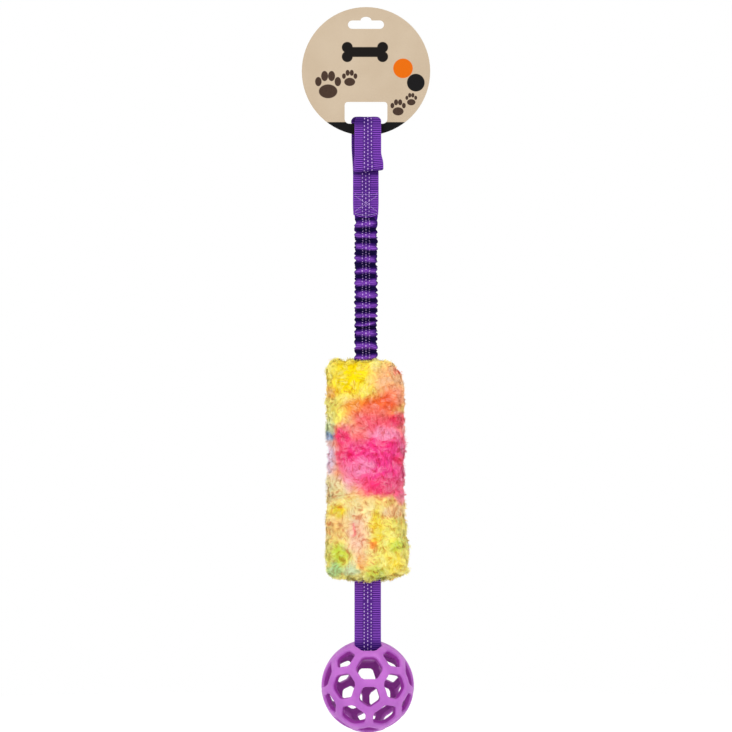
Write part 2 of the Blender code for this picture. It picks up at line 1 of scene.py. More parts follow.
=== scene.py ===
"""Looks of the dog tug toy on its round header card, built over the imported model.

Lengths are in metres. The photograph looks along +Y at a toy that hangs straight down.
"""

from math import cos, pi, radians, sin

import bmesh
import bpy
import numpy as np
from mathutils import Matrix, Vector, noise
from mathutils.kdtree import KDTree


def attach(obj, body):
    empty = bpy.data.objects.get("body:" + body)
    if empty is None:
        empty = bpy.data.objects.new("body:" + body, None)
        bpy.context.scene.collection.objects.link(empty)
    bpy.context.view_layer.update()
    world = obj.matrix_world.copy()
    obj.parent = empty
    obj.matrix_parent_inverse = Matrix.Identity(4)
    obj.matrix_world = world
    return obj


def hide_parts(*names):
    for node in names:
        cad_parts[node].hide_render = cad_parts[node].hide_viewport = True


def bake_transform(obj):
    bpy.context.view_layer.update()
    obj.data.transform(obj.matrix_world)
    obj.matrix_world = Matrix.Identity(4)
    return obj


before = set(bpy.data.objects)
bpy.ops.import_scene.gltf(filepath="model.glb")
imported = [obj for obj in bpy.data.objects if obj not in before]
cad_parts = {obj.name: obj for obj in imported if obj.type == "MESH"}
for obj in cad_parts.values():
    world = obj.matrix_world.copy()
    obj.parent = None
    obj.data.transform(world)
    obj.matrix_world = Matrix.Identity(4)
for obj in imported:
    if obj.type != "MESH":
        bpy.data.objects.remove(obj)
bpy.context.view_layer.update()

# The card's slot top is at photo pixel (366, 16.8), and a pixel is 0.95 mm
PIXEL = 0.00095
PHOTO_X = 366
PHOTO_Y = 16.8

# How much light reaches a surface that faces the camera. Paints are divided by it
ROOM_LIGHT = 1.42
PILE_LIFT = 1.5

# Studio. The floor is clear of the ball when the bungee is stretched
FLOOR_Z = -0.77
FLOOR_RADIUS = 1.6
CAMERA_AWAY = 3.863
CAMERA_LENS = 200
AIM_Z = -0.34
LAMPS = (
    ("key", (-1.1, -1.6, 0.5), 1.2, 14),
    ("fill", (1.3, -1.6, -0.1), 1.2, 8),
    ("top", (0.2, -0.3, 1.2), 1.0, 6),
)

# Webbing. Its columns are shares of its half width
WEB_THICK = 0.0015
WEB_HALF = 0.0125
WEB_COLUMNS = (-1.0, -0.97, -0.86, -0.7, -0.54, -0.36, -0.18, 0, 0.18, 0.36, 0.54, 0.7, 0.86, 0.97, 1.0)
PLY_HALF = 0.0009
RIB_PITCH = 0.00178
RIB_STEPS = 4
RIB_DEPTH = 0.00018
RIB_SPREAD = 0.00012
SMOOTH_SHARE = 0.3
BOW_LENGTH = 0.012
DOT_COLUMN = 0.0033
DOT_PITCH = 2 * RIB_PITCH

# Sewing thread
STITCH = 0.0024
THREAD_RADIUS = 0.00026
THREAD_DIVE = 0.00035

# The handle's fold over the card's bar, its layers' distance from the card, and the grip's eye
FOLD_RADIUS = 0.00225
OUTER_FOLD_RADIUS = 0.005
LAYER_IN = 0.00385
LAYER_OUT = 0.00565
LAYER_MIDDLE = 0.00475
EYE_RADIUS = 0.00425
HANDLE_HALF = 0.0122
GRIP_HALF = 0.0126

# Bungee
GATHER_HALF = 0.0101
GATHER_HALF_THICK = 0.0005
VALLEY_Y = 0.0021
ELASTIC_HALF = 0.008
ELASTIC_HALF_THICK = 0.0012

# Heights of the card's foot, the handle's folds and seam, and the bungee's ends
CARD_FOOT_Z = -0.1128
FOLD_AXIS_Z = -0.1028
OUTER_FOLD_Z = -0.10055
EYE_Z = -0.1425
DRAPE_TOP_Z = -0.1198
SEAM_TOP_Z = -0.1646
HANDLE_FOOT_Z = -0.1908
COVER_TOP_Z = -0.1911
COVER_FOOT_Z = -0.3289
ELASTIC_FOOT_Z = -0.3325

# Lattice ball
BALL_CENTRE_Z = -0.6357
BALL_X = 0.0016
BALL_RADIUS = 0.044
BALL_INNER_RADIUS = 0.038
BALL_TILT = radians(9.0)
BALL_TURN = radians(2.5)
STRUT_WIDTH = 0.0066
HOLE_CORNER = 0.0016
SIDE_STEP = 0.003
CORNER_PERCENT = 34.5
MERGE_DISTANCE = 0.0001
ROUNDING = 0.0008


def photo_x(pixel):
    """The x of a photo column."""
    return (pixel - PHOTO_X) * PIXEL


def photo_z(pixel):
    """The z of a photo row."""
    return (PHOTO_Y - pixel) * PIXEL


def linear(red, green, blue):
    """The paint that shows as a screen colour, from 0 to 255, in the light of the room."""
    shares = [value / 255 for value in (red, green, blue)]
    shown = [v / 12.92 if v <= 0.04045 else ((v + 0.055) / 1.055) ** 2.4 for v in shares]
    return tuple(min(1.0, v / ROOM_LIGHT) for v in shown) + (1,)


def eased(share):
    """Ease from 0 to 1 as share goes from 0 to 1."""
    held = min(max(share, 0), 1)
    return held * held * (3 - 2 * held)


# Materials


class Paint:
    """A node material while it is written. Each method gives what its nodes put out."""

    def __init__(self, name):
        self.material = bpy.data.materials.new(name)
        self.material.use_nodes = True
        self.tree = self.material.node_tree
        self.shader = self.tree.nodes["Principled BSDF"]

    def feed(self, socket, value):
        if isinstance(value, bpy.types.NodeSocket):
            self.tree.links.new(value, socket)
        else:
            socket.default_value = value

    def node(self, kind, *values, **settings):
        """A node with these settings, whose first inputs take the values."""
        made = self.tree.nodes.new("ShaderNode" + kind)
        for key, value in settings.items():
            setattr(made, key, value)
        for socket, value in zip(made.inputs, values):
            self.feed(socket, value)
        return made

    def surface(self, **inputs):
        """Set inputs of the shader: Base_Color, Roughness and so on."""
        for name, value in inputs.items():
            self.feed(self.shader.inputs[name.replace("_", " ")], value)

    def math(self, operation, *values):
        return self.node("Math", *values, operation=operation).outputs[0]

    def times(self, first, second):
        return self.math("MULTIPLY", first, second)

    def plus(self, first, second):
        return self.math("ADD", first, second)

    def scaled(self, value, scale, shift):
        return self.math("MULTIPLY_ADD", value, scale, shift)

    def away(self, value, middle):
        """How far a value is from a middle, to either side."""
        return self.math("ABSOLUTE", self.math("SUBTRACT", value, middle))

    def vector(self, operation, *values):
        return self.node("VectorMath", *values, operation=operation).outputs[0]

    def length(self, vector):
        return self.node("VectorMath", vector, operation="LENGTH").outputs["Value"]

    def combine(self, x, y, z):
        return self.node("CombineXYZ", x, y, z).outputs[0]

    def split(self, vector):
        return self.node("SeparateXYZ", vector).outputs

    def place(self):
        """Where a point is on the object, in metres."""
        return self.node("TexCoord").outputs["Object"]

    def uv(self):
        """Across and along a strip, in metres."""
        return self.node("UVMap", uv_map="strip").outputs[0]

    def attribute(self, name):
        return self.node("Attribute", attribute_name=name).outputs["Fac"]

    def noise(self, vector, scale, detail=2.0, roughness=0.5, colour=False):
        made = self.node("TexNoise", vector, 0.0, scale, detail, roughness)
        return made.outputs["Color" if colour else "Fac"]

    def cells(self, vector, scale):
        return self.node("TexVoronoi", vector, 0.0, scale).outputs["Distance"]

    def ease(self, value, low, high, start=0.0, stop=1.0):
        """Ease from start to stop as the value goes from low to high."""
        values = (value, low, high, start, stop)
        return self.node("MapRange", *values, interpolation_type="SMOOTHSTEP").outputs[0]

    def fade(self, value, low, high):
        """Ease from 1 to 0 as the value goes from low to high."""
        return self.ease(value, low, high, 1.0, 0.0)

    def mix(self, share, first, second, blend="MIX"):
        made = self.node("Mix", share, data_type="RGBA", blend_type=blend)
        self.feed(made.inputs[6], first)
        self.feed(made.inputs[7], second)
        return made.outputs[2]

    def bump(self, height, distance, strength):
        made = self.node("Bump")
        self.feed(made.inputs["Height"], height)
        made.inputs["Distance"].default_value = distance
        made.inputs["Strength"].default_value = strength
        self.feed(self.shader.inputs["Normal"], made.outputs[0])

    def largest(self, values):
        result = values[0]
        for value in values[1:]:
            result = self.math("MAXIMUM", result, value)
        return result

    def patch(self, place, centre, radii):
        """1 in the middle of an ellipse seen from the front, eased to 0 round its edge."""
        scale = (1 / radii[0], 0, 1 / radii[1])
        shift = (-centre[0] * scale[0], 0, -centre[1] * scale[2])
        return self.fade(self.length(self.vector("MULTIPLY_ADD", place, scale, shift)), 0.4, 1.35)

    def oval(self, x, z, centre, radii, soft=0.12):
        """1 inside an upright ellipse and 0 outside, its edge a share soft of its radius."""
        across = self.math("DIVIDE", self.math("SUBTRACT", x, centre[0]), radii[0])
        up = self.math("DIVIDE", self.math("SUBTRACT", z, centre[1]), radii[1])
        return self.fade(self.plus(self.times(across, across), self.times(up, up)), 1 - soft, 1 + soft)


def webbing_paint(name, deep, plain, light, valley=None):
    """Ribbed nylon webbing with three columns of woven-in reflective dots."""
    paint = Paint(name)
    strip = paint.uv()
    across, along, _ = paint.split(strip)
    fibres = paint.noise(paint.combine(paint.times(across, 0.35), along, 0.0), 9000, 2)
    cloudy = paint.noise(strip, 140, 3)
    rib = paint.scaled(paint.math("COSINE", paint.times(along, 2 * pi / RIB_PITCH)), 0.5, 0.5)
    from_middle = paint.math("ABSOLUTE", across)
    plain_side = paint.ease(from_middle, 0.004, 0.0056)
    # Painted highlight: rib crests are drawn towards the light colour, most away from the dotted middle.
    crest = paint.times(paint.ease(rib, 0.58, 0.99), paint.scaled(plain_side, 0.65, 0.35))
    # Painted highlight along both edges of the strip, with random lighter fibres mixed in by the next
    # line.
    selvedge_highlight = paint.ease(from_middle, WEB_HALF - 0.001, WEB_HALF - 0.0004, 0.0, 0.3)
    edge_highlight_and_fibre_tone = paint.math("MAXIMUM", selvedge_highlight, paint.ease(fibres, 0.35, 0.75, 0.0, 0.2))
    body = paint.mix(paint.ease(cloudy, 0.3, 0.7), deep, plain)
    body = paint.mix(crest, body, light)
    body = paint.mix(edge_highlight_and_fibre_tone, body, light)
    # Painted shade: where a strip's dark mark is set, its colour is drawn towards deep purple.
    body = paint.mix(paint.attribute("dark"), body, linear(36, 2, 92))
    dots = []
    for column, stagger in ((-1, 0.0), (0, 0.5), (1, 0.0)):
        aside = paint.away(across, column * DOT_COLUMN)
        cycle = paint.math("FRACT", paint.plus(paint.math("DIVIDE", along, DOT_PITCH), stagger))
        beyond = paint.away(cycle, 0.5)
        dots.append(paint.times(paint.fade(aside, 0.0003, 0.00062), paint.fade(beyond, 0.17, 0.27)))
    worn = paint.ease(paint.noise(strip, 420, 2), 0.32, 0.55, 0.45, 1.0)
    dot = paint.times(paint.largest(dots), worn)
    # Gathered webbing: painted shade down the pleats' sides into their valleys and lit colours on their
    # ridges, by how far each stands out; its dots are painted dimmer in the valleys too.
    if valley:
        uneven = paint.scaled(paint.noise(strip, 300, 3), 0.5, -0.25)
        stand = paint.plus(paint.attribute("pleat"), uneven)
        slope = paint.mix(paint.ease(stand, 0.1, 0.5), valley, linear(58, 14, 112))
        body = paint.mix(paint.ease(stand, 0.5, 0.88), slope, body)
        dot = paint.times(dot, paint.ease(stand, 0.0, 0.6, 0.75, 1.0))
    paint.surface(
        Base_Color=paint.mix(dot, body, linear(208, 172, 236)),
        Roughness=paint.scaled(dot, -0.25, 0.7),
        Sheen_Weight=0.02,
        Sheen_Roughness=0.4,
        Specular_IOR_Level=0.07,
    )
    height = paint.plus(paint.times(fibres, 0.35), paint.times(dot, 0.5))
    paint.bump(paint.plus(height, paint.times(rib, 0.6)), 0.00012, 0.8)
    return paint.material


def thread_paint():
    paint = Paint("sewing thread")
    twist = paint.noise(paint.place(), 2600, 1)
    tone = paint.mix(twist, linear(140, 96, 194), linear(206, 172, 236))
    paint.surface(Base_Color=tone, Roughness=0.6, Sheen_Weight=0.1)
    paint.bump(twist, 0.0001, 0.6)
    return paint.material


def elastic_paint():
    """Flat braided elastic, dark, with fine lengthwise rubber."""
    paint = Paint("braided elastic")
    place = paint.place()
    lines = paint.math("SINE", paint.times(paint.split(place)[0], 2 * pi / 0.0011))
    shade = paint.plus(paint.times(lines, 0.25), paint.noise(place, 1500, 2))
    tone = paint.mix(paint.ease(shade, 0.2, 0.9), linear(22, 18, 34), linear(58, 44, 86))
    paint.surface(Base_Color=tone, Roughness=0.75)
    paint.bump(shade, 0.0002, 0.6)
    return paint.material


# A paw's pad and its toes, as shares of its size: right, up, half width and half height
PAW_PARTS = ((0, -0.22, 0.4, 0.3), (-0.42, 0.2, 0.14, 0.2), (-0.15, 0.44, 0.15, 0.22))
PAW_PARTS += ((0.15, 0.44, 0.15, 0.22), (0.42, 0.2, 0.14, 0.2))

# Paw prints on the card: x, z and size
PAWS = ((-0.036, -0.066, 0.022), (-0.0155, -0.059, 0.013), (0.0305, -0.087, 0.013), (0.043, -0.079, 0.01))


def paw(paint, x, z, centre, size):
    ovals = []
    for right, up, half_width, half_height in PAW_PARTS:
        middle = (centre[0] + right * size, centre[1] + up * size)
        ovals.append(paint.oval(x, z, middle, (half_width * size, half_height * size)))
    return paint.largest(ovals)


def bone(paint, x, z, centre, length):
    """A plain bone, lying level: a bar with two knobs at each end."""
    bar_half = 0.11 * length
    within = paint.fade(paint.away(x, centre[0]), 0.4 * length, 0.42 * length)
    shapes = [paint.times(within, paint.fade(paint.away(z, centre[1]), bar_half, bar_half * 1.15))]
    for side in (-1, 1):
        for level in (-1, 1):
            middle = (centre[0] + side * 0.42 * length, centre[1] + level * bar_half)
            shapes.append(paint.oval(x, z, middle, (0.13 * length, 0.13 * length)))
    return paint.largest(shapes)


def card_paint():
    """Kraft card with a black band at its foot, two plain discs, a bone and paws."""
    paint = Paint("printed kraft card")
    place = paint.place()
    x, y, z = paint.split(place)
    fibres = paint.noise(paint.combine(paint.times(x, 0.35), y, z), 2600, 3, 0.65)
    specks = paint.fade(paint.cells(place, 900), 0.1, 0.22)
    rare = paint.times(specks, paint.ease(paint.noise(place, 260, 1), 0.58, 0.66))
    cloudy = paint.ease(paint.noise(place, 24, 2), 0.3, 0.7)
    tone = paint.mix(cloudy, linear(203, 183, 157), linear(209, 190, 165))
    tone = paint.mix(paint.ease(fibres, 0.3, 0.75, 0.0, 0.28), tone, linear(188, 164, 135))
    tone = paint.mix(paint.times(rare, 0.45), tone, linear(140, 112, 84))
    front = paint.fade(y, -0.0003, -0.0001)
    ink = linear(22, 18, 16)
    brown = paint.mix(paint.ease(fibres, 0.4, 0.7), linear(62, 46, 38), linear(88, 66, 52))
    prints = [(ink, bone(paint, x, z, (-0.001, -0.0335), 0.04))]
    prints += [(brown, paw(paint, x, z, (right, up), size)) for right, up, size in PAWS]
    prints += [
        (linear(230, 108, 0), paint.oval(x, z, (photo_x(403.0), photo_z(68.4)), (0.0093, 0.0093), 0.06)),
        (linear(20, 19, 20), paint.oval(x, z, (photo_x(415.8), photo_z(82.7)), (0.0084, 0.0084), 0.06)),
        (linear(17, 16, 17), paint.fade(z, photo_z(122.4), photo_z(121.9))),
    ]
    for colour, shape in prints:
        tone = paint.mix(paint.times(shape, front), tone, colour)
    paint.surface(Base_Color=tone, Roughness=0.82, Specular_IOR_Level=0.12)
    paint.bump(fibres, 0.00006, 0.5)
    return paint.material


def rubber_paint():
    """Matt moulded rubber, a little cloudy, with fine handling marks, and painted shade deep in its walls.
    """
    paint = Paint("moulded rubber")
    place = paint.place()
    cloudy = paint.noise(place, 55, 3)
    grain = paint.noise(place, 2400, 2)
    tone = paint.mix(paint.ease(cloudy, 0.3, 0.7), linear(185, 94, 199), linear(200, 110, 212))
    # Painted shade: the walls from about 2 mm under the outer surface inward are drawn towards dark
    # magenta.
    inside = paint.ease(paint.length(place), BALL_RADIUS - 0.0025, BALL_RADIUS - 0.0016, 0.85, 0.0)
    tone = paint.mix(inside, tone, linear(158, 26, 162))
    paint.surface(
        Base_Color=tone,
        Roughness=paint.scaled(grain, 0.12, 0.42),
        Specular_IOR_Level=0.35,
        Subsurface_Weight=0.25,
        Subsurface_Scale=0.004,
        Subsurface_Radius=(1.0, 0.4, 1.0),
    )
    paint.bump(grain, 0.00003, 0.5)
    return paint.material


# Tie-dye: the dyes, and the patches they make on the sleeve's front, later ones over earlier ones.
# A patch is its dye, its middle and half size in photo pixels, and its strength
DYES = {
    "yellow": (252, 226, 0), "lemon": (250, 238, 108), "butter": (254, 236, 122),
    "cream": (254, 226, 168), "peach": (254, 190, 128), "orange": (254, 150, 56),
    "flame": (244, 84, 38), "coral": (255, 116, 108), "crimson": (246, 36, 88),
    "magenta": (250, 12, 122), "pink": (255, 66, 150), "rose": (254, 158, 200),
    "lavender": (238, 214, 240), "blush": (254, 196, 176), "blue": (112, 172, 222),
    "mint": (190, 220, 184), "teal": (96, 200, 150), "lime": (196, 224, 24),
    "olive": (238, 228, 168),
}
DYE_PATCHES = (
    ("yellow", 347, 376, 32, 24, 1.0), ("lemon", 331, 368, 9, 14, 0.5),
    ("lemon", 334, 412, 16, 12, 0.9), ("peach", 392, 380, 22, 20, 1.0),
    ("coral", 398, 371, 5, 4, 0.7), ("orange", 330, 393, 7, 7, 0.5),
    ("orange", 360, 407, 18, 11, 0.9), ("coral", 394, 398, 16, 12, 0.6),
    ("flame", 382, 404, 20, 12, 0.85), ("coral", 376, 420, 30, 13, 1.0),
    ("crimson", 398, 419, 12, 8, 0.85), ("pink", 372, 459, 46, 38, 1.0),
    ("pink", 398, 460, 16, 38, 0.9), ("magenta", 343, 436, 12, 13, 0.9),
    ("coral", 362, 432, 10, 12, 0.6), ("rose", 383, 434, 14, 8, 0.8),
    ("magenta", 383, 444, 12, 4, 0.7), ("magenta", 345, 456, 14, 9, 0.6),
    ("rose", 359, 468, 16, 9, 0.6), ("crimson", 399, 461, 8, 6, 0.6),
    ("rose", 343, 482, 12, 8, 0.6), ("magenta", 381, 488, 22, 9, 0.85),
    ("mint", 329, 427, 6, 8, 0.7), ("blue", 329, 437, 6, 5, 0.9),
    ("lavender", 328, 458, 7, 19, 0.9), ("olive", 333, 489, 15, 15, 0.9),
    ("cream", 362, 514, 36, 17, 0.8), ("pink", 401, 497, 7, 9, 0.85),
    ("yellow", 338, 511, 11, 7, 0.9), ("peach", 337, 528, 16, 14, 0.5),
    ("cream", 358, 540, 16, 32, 0.9), ("blush", 357, 535, 10, 20, 0.7),
    ("crimson", 354, 529, 2, 6, 0.6), ("lemon", 396, 536, 18, 34, 0.85),
    ("yellow", 377, 524, 7, 21, 0.8), ("blush", 394, 511, 13, 8, 0.55),
    ("orange", 374, 543, 5, 5, 0.85), ("lime", 397, 545, 10, 7, 0.65),
    ("lime", 339, 555, 12, 12, 0.7), ("teal", 335, 570, 9, 8, 0.6),
    ("mint", 350, 569, 9, 7, 0.7), ("orange", 362, 561, 6, 9, 0.5),
    ("lime", 376, 573, 12, 9, 0.5), ("yellow", 397, 563, 10, 12, 0.6),
)


def dyed(paint, place):
    """The tie-dye's colour: its patches on a butter ground, their edges run out by noise."""
    drift = (0.013, 0, 0.013)
    half_back = (-0.0065, 0, -0.0065)
    wander = paint.vector("MULTIPLY_ADD", paint.noise(place, 110, 3, 0.6, colour=True), drift, half_back)
    x, y, z = paint.split(paint.vector("ADD", place, wander))
    behind = paint.ease(y, 0.001, 0.02, 0.0, 0.031)
    spot = paint.combine(x, 0.0, paint.plus(z, behind))
    colour = fur_colour("butter")
    for dye, column, row, half_width, half_height, strength in DYE_PATCHES:
        centre = (photo_x(column), photo_z(row))
        share = paint.patch(spot, centre, (half_width * PIXEL, half_height * PIXEL))
        colour = paint.mix(paint.times(share, strength), colour, fur_colour(dye))
    return colour


def fur_colour(dye):
    """A dye as paint. The pile shades itself, so it is painted lighter than it shows."""
    return tuple(min(0.97, value * PILE_LIFT) for value in linear(*DYES[dye])[:3]) + (1,)


def fur_paint():
    """Tie-dyed pile, a little deeper towards its roots and where tufts part, as painted shade, and paler
    on some tufts and at its sides, as painted highlight.
    """
    paint = Paint("tie-dye pile")
    place = paint.place()
    colour = dyed(paint, place)
    along = paint.attribute("along")
    shade = paint.attribute("shade")
    # Painted highlight: tufts with a high shade mark are paler towards their tips, and the pile is paler
    # towards its left and right sides.
    pale = paint.times(paint.ease(shade, 0.45, 1.0, 0.0, 0.3), paint.ease(along, 0.2, 1.0))
    from_middle = paint.math("ABSOLUTE", paint.split(place)[0])
    pale = paint.plus(pale, paint.ease(from_middle, 0.026, 0.036, 0.0, 0.06))
    colour = paint.mix(pale, colour, (1, 1, 1, 1))
    # Painted shade: darker towards the roots and where the shade mark is low, most where it is near
    # nought.
    low = paint.ease(along, 0.0, 0.6, 0.38, 0.0)
    root = paint.math("MAXIMUM", low, paint.ease(shade, 0.0, 0.3, 0.75, 0.0))
    colour = paint.mix(root, colour, (0.9, 0.6, 0.44, 1), "MULTIPLY")
    colour = paint.mix(paint.ease(shade, 0.0, 0.05, 0.7, 0.0), colour, (0.8, 0.44, 0.44, 1), "MULTIPLY")
    paint.surface(Base_Color=colour, Roughness=0.9, Sheen_Weight=0.1, Specular_IOR_Level=0.1)
    return paint.material


# Meshes


def unit(vectors):
    return vectors / np.maximum(np.linalg.norm(vectors, axis=-1, keepdims=True), 1e-9)


def lengths_so_far(points):
    """How far along its path each point lies."""
    return np.concatenate([[0], np.cumsum(np.linalg.norm(np.diff(points, axis=0), axis=1))])


def around(front, back):
    """A ring: along the front, then back along the rear without the ends that they share."""
    return np.concatenate([front, back[-2:0:-1]])


def mark(mesh, name, values):
    """Keep a number for each corner of a mesh, for its material."""
    numbers = np.asarray(values, np.float32)
    mesh.attributes.new(name, "FLOAT", "POINT").data.foreach_set("value", numbers)


def add_object(name, data):
    made = bpy.data.objects.new(name, data)
    bpy.context.scene.collection.objects.link(made)
    return made


def new_object(name, mesh, look):
    """A smooth-shaded object in the scene, with one material."""
    made = add_object(name, mesh)
    mesh.materials.append(look)
    mesh.shade_smooth()
    return made


def finished_mesh(shape, name):
    """The mesh of a bmesh, which is then freed."""
    mesh = bpy.data.meshes.new(name)
    shape.to_mesh(mesh)
    shape.free()
    return mesh


def skin_rings(shape, rings):
    """Faces over a tube of equal rings of corners, shut at both ends."""
    count = len(rings[0])
    for upper, lower in zip(rings, rings[1:]):
        for column in range(count):
            after = (column + 1) % count
            shape.faces.new((upper[column], upper[after], lower[after], lower[column]))
    shape.faces.new(rings[0][::-1])
    shape.faces.new(rings[-1])
    bmesh.ops.recalc_face_normals(shape, faces=shape.faces)


def strip_object(name, look, front, back, across, along, **marks):
    """A shut strip from rows of points on its front and back, with its strip map and its marks."""
    shape = bmesh.new()
    layer = shape.loops.layers.uv.new("strip")
    rings = [[shape.verts.new(point) for point in around(*rows)] for rows in zip(front, back)]
    known = {}
    for ring, place in zip(rings, along):
        for corner, share in zip(ring, around(across, across)):
            known[corner] = (share, place)
    skin_rings(shape, rings)
    for face in shape.faces:
        for loop in face.loops:
            loop[layer].uv = known[loop.vert]
    mesh = finished_mesh(shape, name)
    for kind, rows in marks.items():
        mark(mesh, kind, np.concatenate([around(row, row) for row in rows]))
    return new_object(name, mesh, look)


def resample(points, pitch):
    """A smooth path through (x, y, z, half width) points in equal steps, and its length so far."""
    points = np.array(points, float)
    padded = np.vstack([2 * points[0] - points[1], points, 2 * points[-1] - points[-2]])
    dense = []
    share = np.linspace(0, 1, 12, endpoint=False)[:, None]
    for before, start, stop, after in zip(padded, padded[1:], padded[2:], padded[3:]):
        bend = (2 * before - 5 * start + 4 * stop - after) * share * share
        sway = (3 * start - before - 3 * stop + after) * share * share * share
        dense.append(0.5 * (2 * start + (stop - before) * share + bend + sway))
    dense = np.vstack(dense + [points[-1]])
    length = lengths_so_far(dense[:, :3])
    count = max(2, int(round(length[-1] / pitch)))
    places = np.linspace(0, length[-1], count + 1)
    path = np.column_stack([np.interp(places, length, dense[:, axis]) for axis in range(4)])
    return path, places


def strap(name, points, look, crest=None, bow=0.0, lean=None, dark=None):
    """Ribbed webbing along a path. A rib's crest lies nearest the (y, z) of crest.

    Bow draws back the corners of its end, lean moves a place in x and z, and dark paints shade onto it.
    """
    path, places = resample(points, RIB_PITCH / RIB_STEPS)
    tangents = unit(np.gradient(path[:, :3], axis=0))
    normals = unit(np.cross(tangents, (1, 0, 0)))
    ribs_at = places
    if crest:
        nearest = np.hypot(path[:, 1] - crest[0], path[:, 2] - crest[1]).argmin()
        ribs_at = places - places[nearest] + (path[nearest, 2] - crest[1])
    rows = []
    for centre, tangent, normal, along, rib_at in zip(path, tangents, normals, places, ribs_at):
        rib = 0.5 + 0.5 * cos(2 * pi * rib_at / RIB_PITCH)
        half = centre[3] + RIB_SPREAD * (rib - 0.5)
        drawn = bow * (1 - eased((places[-1] - along) / BOW_LENGTH))
        front = []
        back = []
        for share in WEB_COLUMNS:
            aside, up = lean(share, centre) if lean else (0, 0)
            edge = (1 - min(1, abs(share)) ** 10) ** 0.5
            ribbed = eased((abs(share) - SMOOTH_SHARE) / 0.14)
            stand = (WEB_THICK / 2 - RIB_DEPTH + RIB_DEPTH * rib * ribbed) * edge
            middle = centre[:3] - tangent * drawn * share * share + (share * half + aside, 0, up)
            front.append(middle + normal * stand)
            back.append(middle - normal * stand)
        rows.append((front, back, [dark(share, centre) if dark else 0.0 for share in WEB_COLUMNS]))
    fronts, backs, tones = zip(*rows)
    across = np.array(WEB_COLUMNS) * WEB_HALF
    return strip_object(name, look, fronts, backs, across, ribs_at, dark=tones)


def arc_points(centre_y, centre_z, radius, start, stop, steps):
    """(y, z) points on an arc, angles in degrees from +Y towards +Z."""
    turns = np.radians(np.linspace(start, stop, steps + 1))
    return [(centre_y + radius * cos(turn), centre_z + radius * sin(turn)) for turn in turns]


def drape(z):
    """The y of the middle of the handle's two layers below the card."""
    return LAYER_MIDDLE * (1 - eased((DRAPE_TOP_Z - z) / (DRAPE_TOP_Z - SEAM_TOP_Z)))


def handle_side(z):
    """The x of the handle's layers, which lie to the left where they pass behind the grip."""
    return -0.0016 + 0.0014 * eased((-0.12 - z) / 0.03)


def make_grip(look):
    """The loop's free end: over the bar, down in front of it, round the eye and back up."""
    under_card = CARD_FOOT_Z - 0.002
    inner = arc_points(0, FOLD_AXIS_Z, FOLD_RADIUS, -5, 180, 10)
    down = [(-LAYER_IN, under_card), (-LAYER_IN, -0.12), (-LAYER_IN, -0.127)]
    down += [(-0.003, -0.1315), (-0.0014, -0.1365)]
    round_eye = arc_points(-LAYER_MIDDLE, EYE_Z, EYE_RADIUS, 0, -180, 10)
    up = [(-0.0081, -0.1365), (-0.0066, -0.1315), (-0.00575, -0.127), (-LAYER_OUT, -0.12)]
    up += [(-LAYER_OUT, under_card), (-0.0055, -0.106)]
    outer = arc_points(0, OUTER_FOLD_Z, OUTER_FOLD_RADIUS, 180, 0, 12)
    points = []
    for y, z in inner + down + round_eye + up + outer:
        forward = eased((0.0035 - y) / 0.007)
        rounded = 0.0015 * eased((z + 0.0988) / 0.0032)
        points.append((-0.0016 + 0.0034 * forward, y, z, GRIP_HALF - rounded))

    def lean(share, centre):
        """The eye's front flares out to the right, and its foot is higher there."""
        low = eased((-0.128 - centre[2]) / 0.014)
        flare = 0.0021 * max(share, 0) * low * eased((-0.0045 - centre[1]) / 0.002)
        return flare, 0.0011 * share * low

    def dark(share, centre):
        """Painted shade over the crown, most at its left, and under the eye."""
        crown = eased((centre[2] + 0.1075) / 0.008) * (1 - 0.6 * eased((share + 0.25) / 0.5))
        eye = eased((-0.1447 - centre[2]) / 0.0022)
        return 0.75 * max(crown, eye)

    crest = (-LAYER_OUT, photo_z(139.5))
    grip = strap("grip_webbing", points, look, crest=crest, lean=lean, dark=dark)
    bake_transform(grip)
    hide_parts("grip_loop")
    return grip


def handle_half(z):
    """Half the handle's width: it spreads a little under the seam's stitches, and draws in below."""
    spread = eased((-0.178 - z) / 0.006)
    drawn = eased((-0.187 - z) / 0.004)
    return HANDLE_HALF + 0.0006 * spread - 0.001 * drawn


def handle_painted_shade(share, centre):
    """The handle is painted in shade behind the grip's eye, over the seam's top and in folds below the
    seam's top.
    """
    behind = eased((centre[2] + 0.152) / 0.003)
    seam_top = max(0, 1 - abs(centre[2] + 0.163) / 0.0022)
    folds = 0.5 * max(0, noise.noise((6 * share, 4, centre[2] / 0.006)))
    return min(1, 0.7 * max(behind, 0.7 * seam_top) + folds * eased((-0.166 - centre[2]) / 0.006))


def make_handle(look):
    """The two layers behind the grip, down to the seam that holds the bungee."""
    front_top = [(FOLD_RADIUS, FOLD_AXIS_Z), (0.0027, -0.106), (LAYER_IN, CARD_FOOT_Z)]
    back_top = [(OUTER_FOLD_RADIUS, OUTER_FOLD_Z), (0.0053, -0.105), (LAYER_OUT, CARD_FOOT_Z)]
    for word, side, top in (("front", -1, front_top), ("back", 1, back_top)):
        path = top + [(drape(z) + side * PLY_HALF, z) for z in np.linspace(-0.118, -0.158, 9)]
        path += [(side * 2 * PLY_HALF, z) for z in (SEAM_TOP_Z, -0.178, COVER_TOP_Z)]
        points = [(handle_side(z), y, z, handle_half(z)) for y, z in path]
        crest = (side * 2 * PLY_HALF, photo_z(194.5))
        piece = strap(f"handle_webbing_{word}", points, look, crest=crest, bow=0.003, dark=handle_painted_shade)
        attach(piece, "handle")
        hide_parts(f"handle_strap_{word}")


def make_tab(look):
    """The gathered webbing's top, dark between the handle's layers."""
    levels = (-0.17, -0.18, -0.189, -0.1918, -0.195)
    points = [(0.0002, 0, z, half) for z, half in zip(levels, (0.0112, 0.0112, 0.011, 0.0107, 0.01))]
    tab = strap("gather_tab", points, look)
    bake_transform(tab)
    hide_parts("bungee_tab")


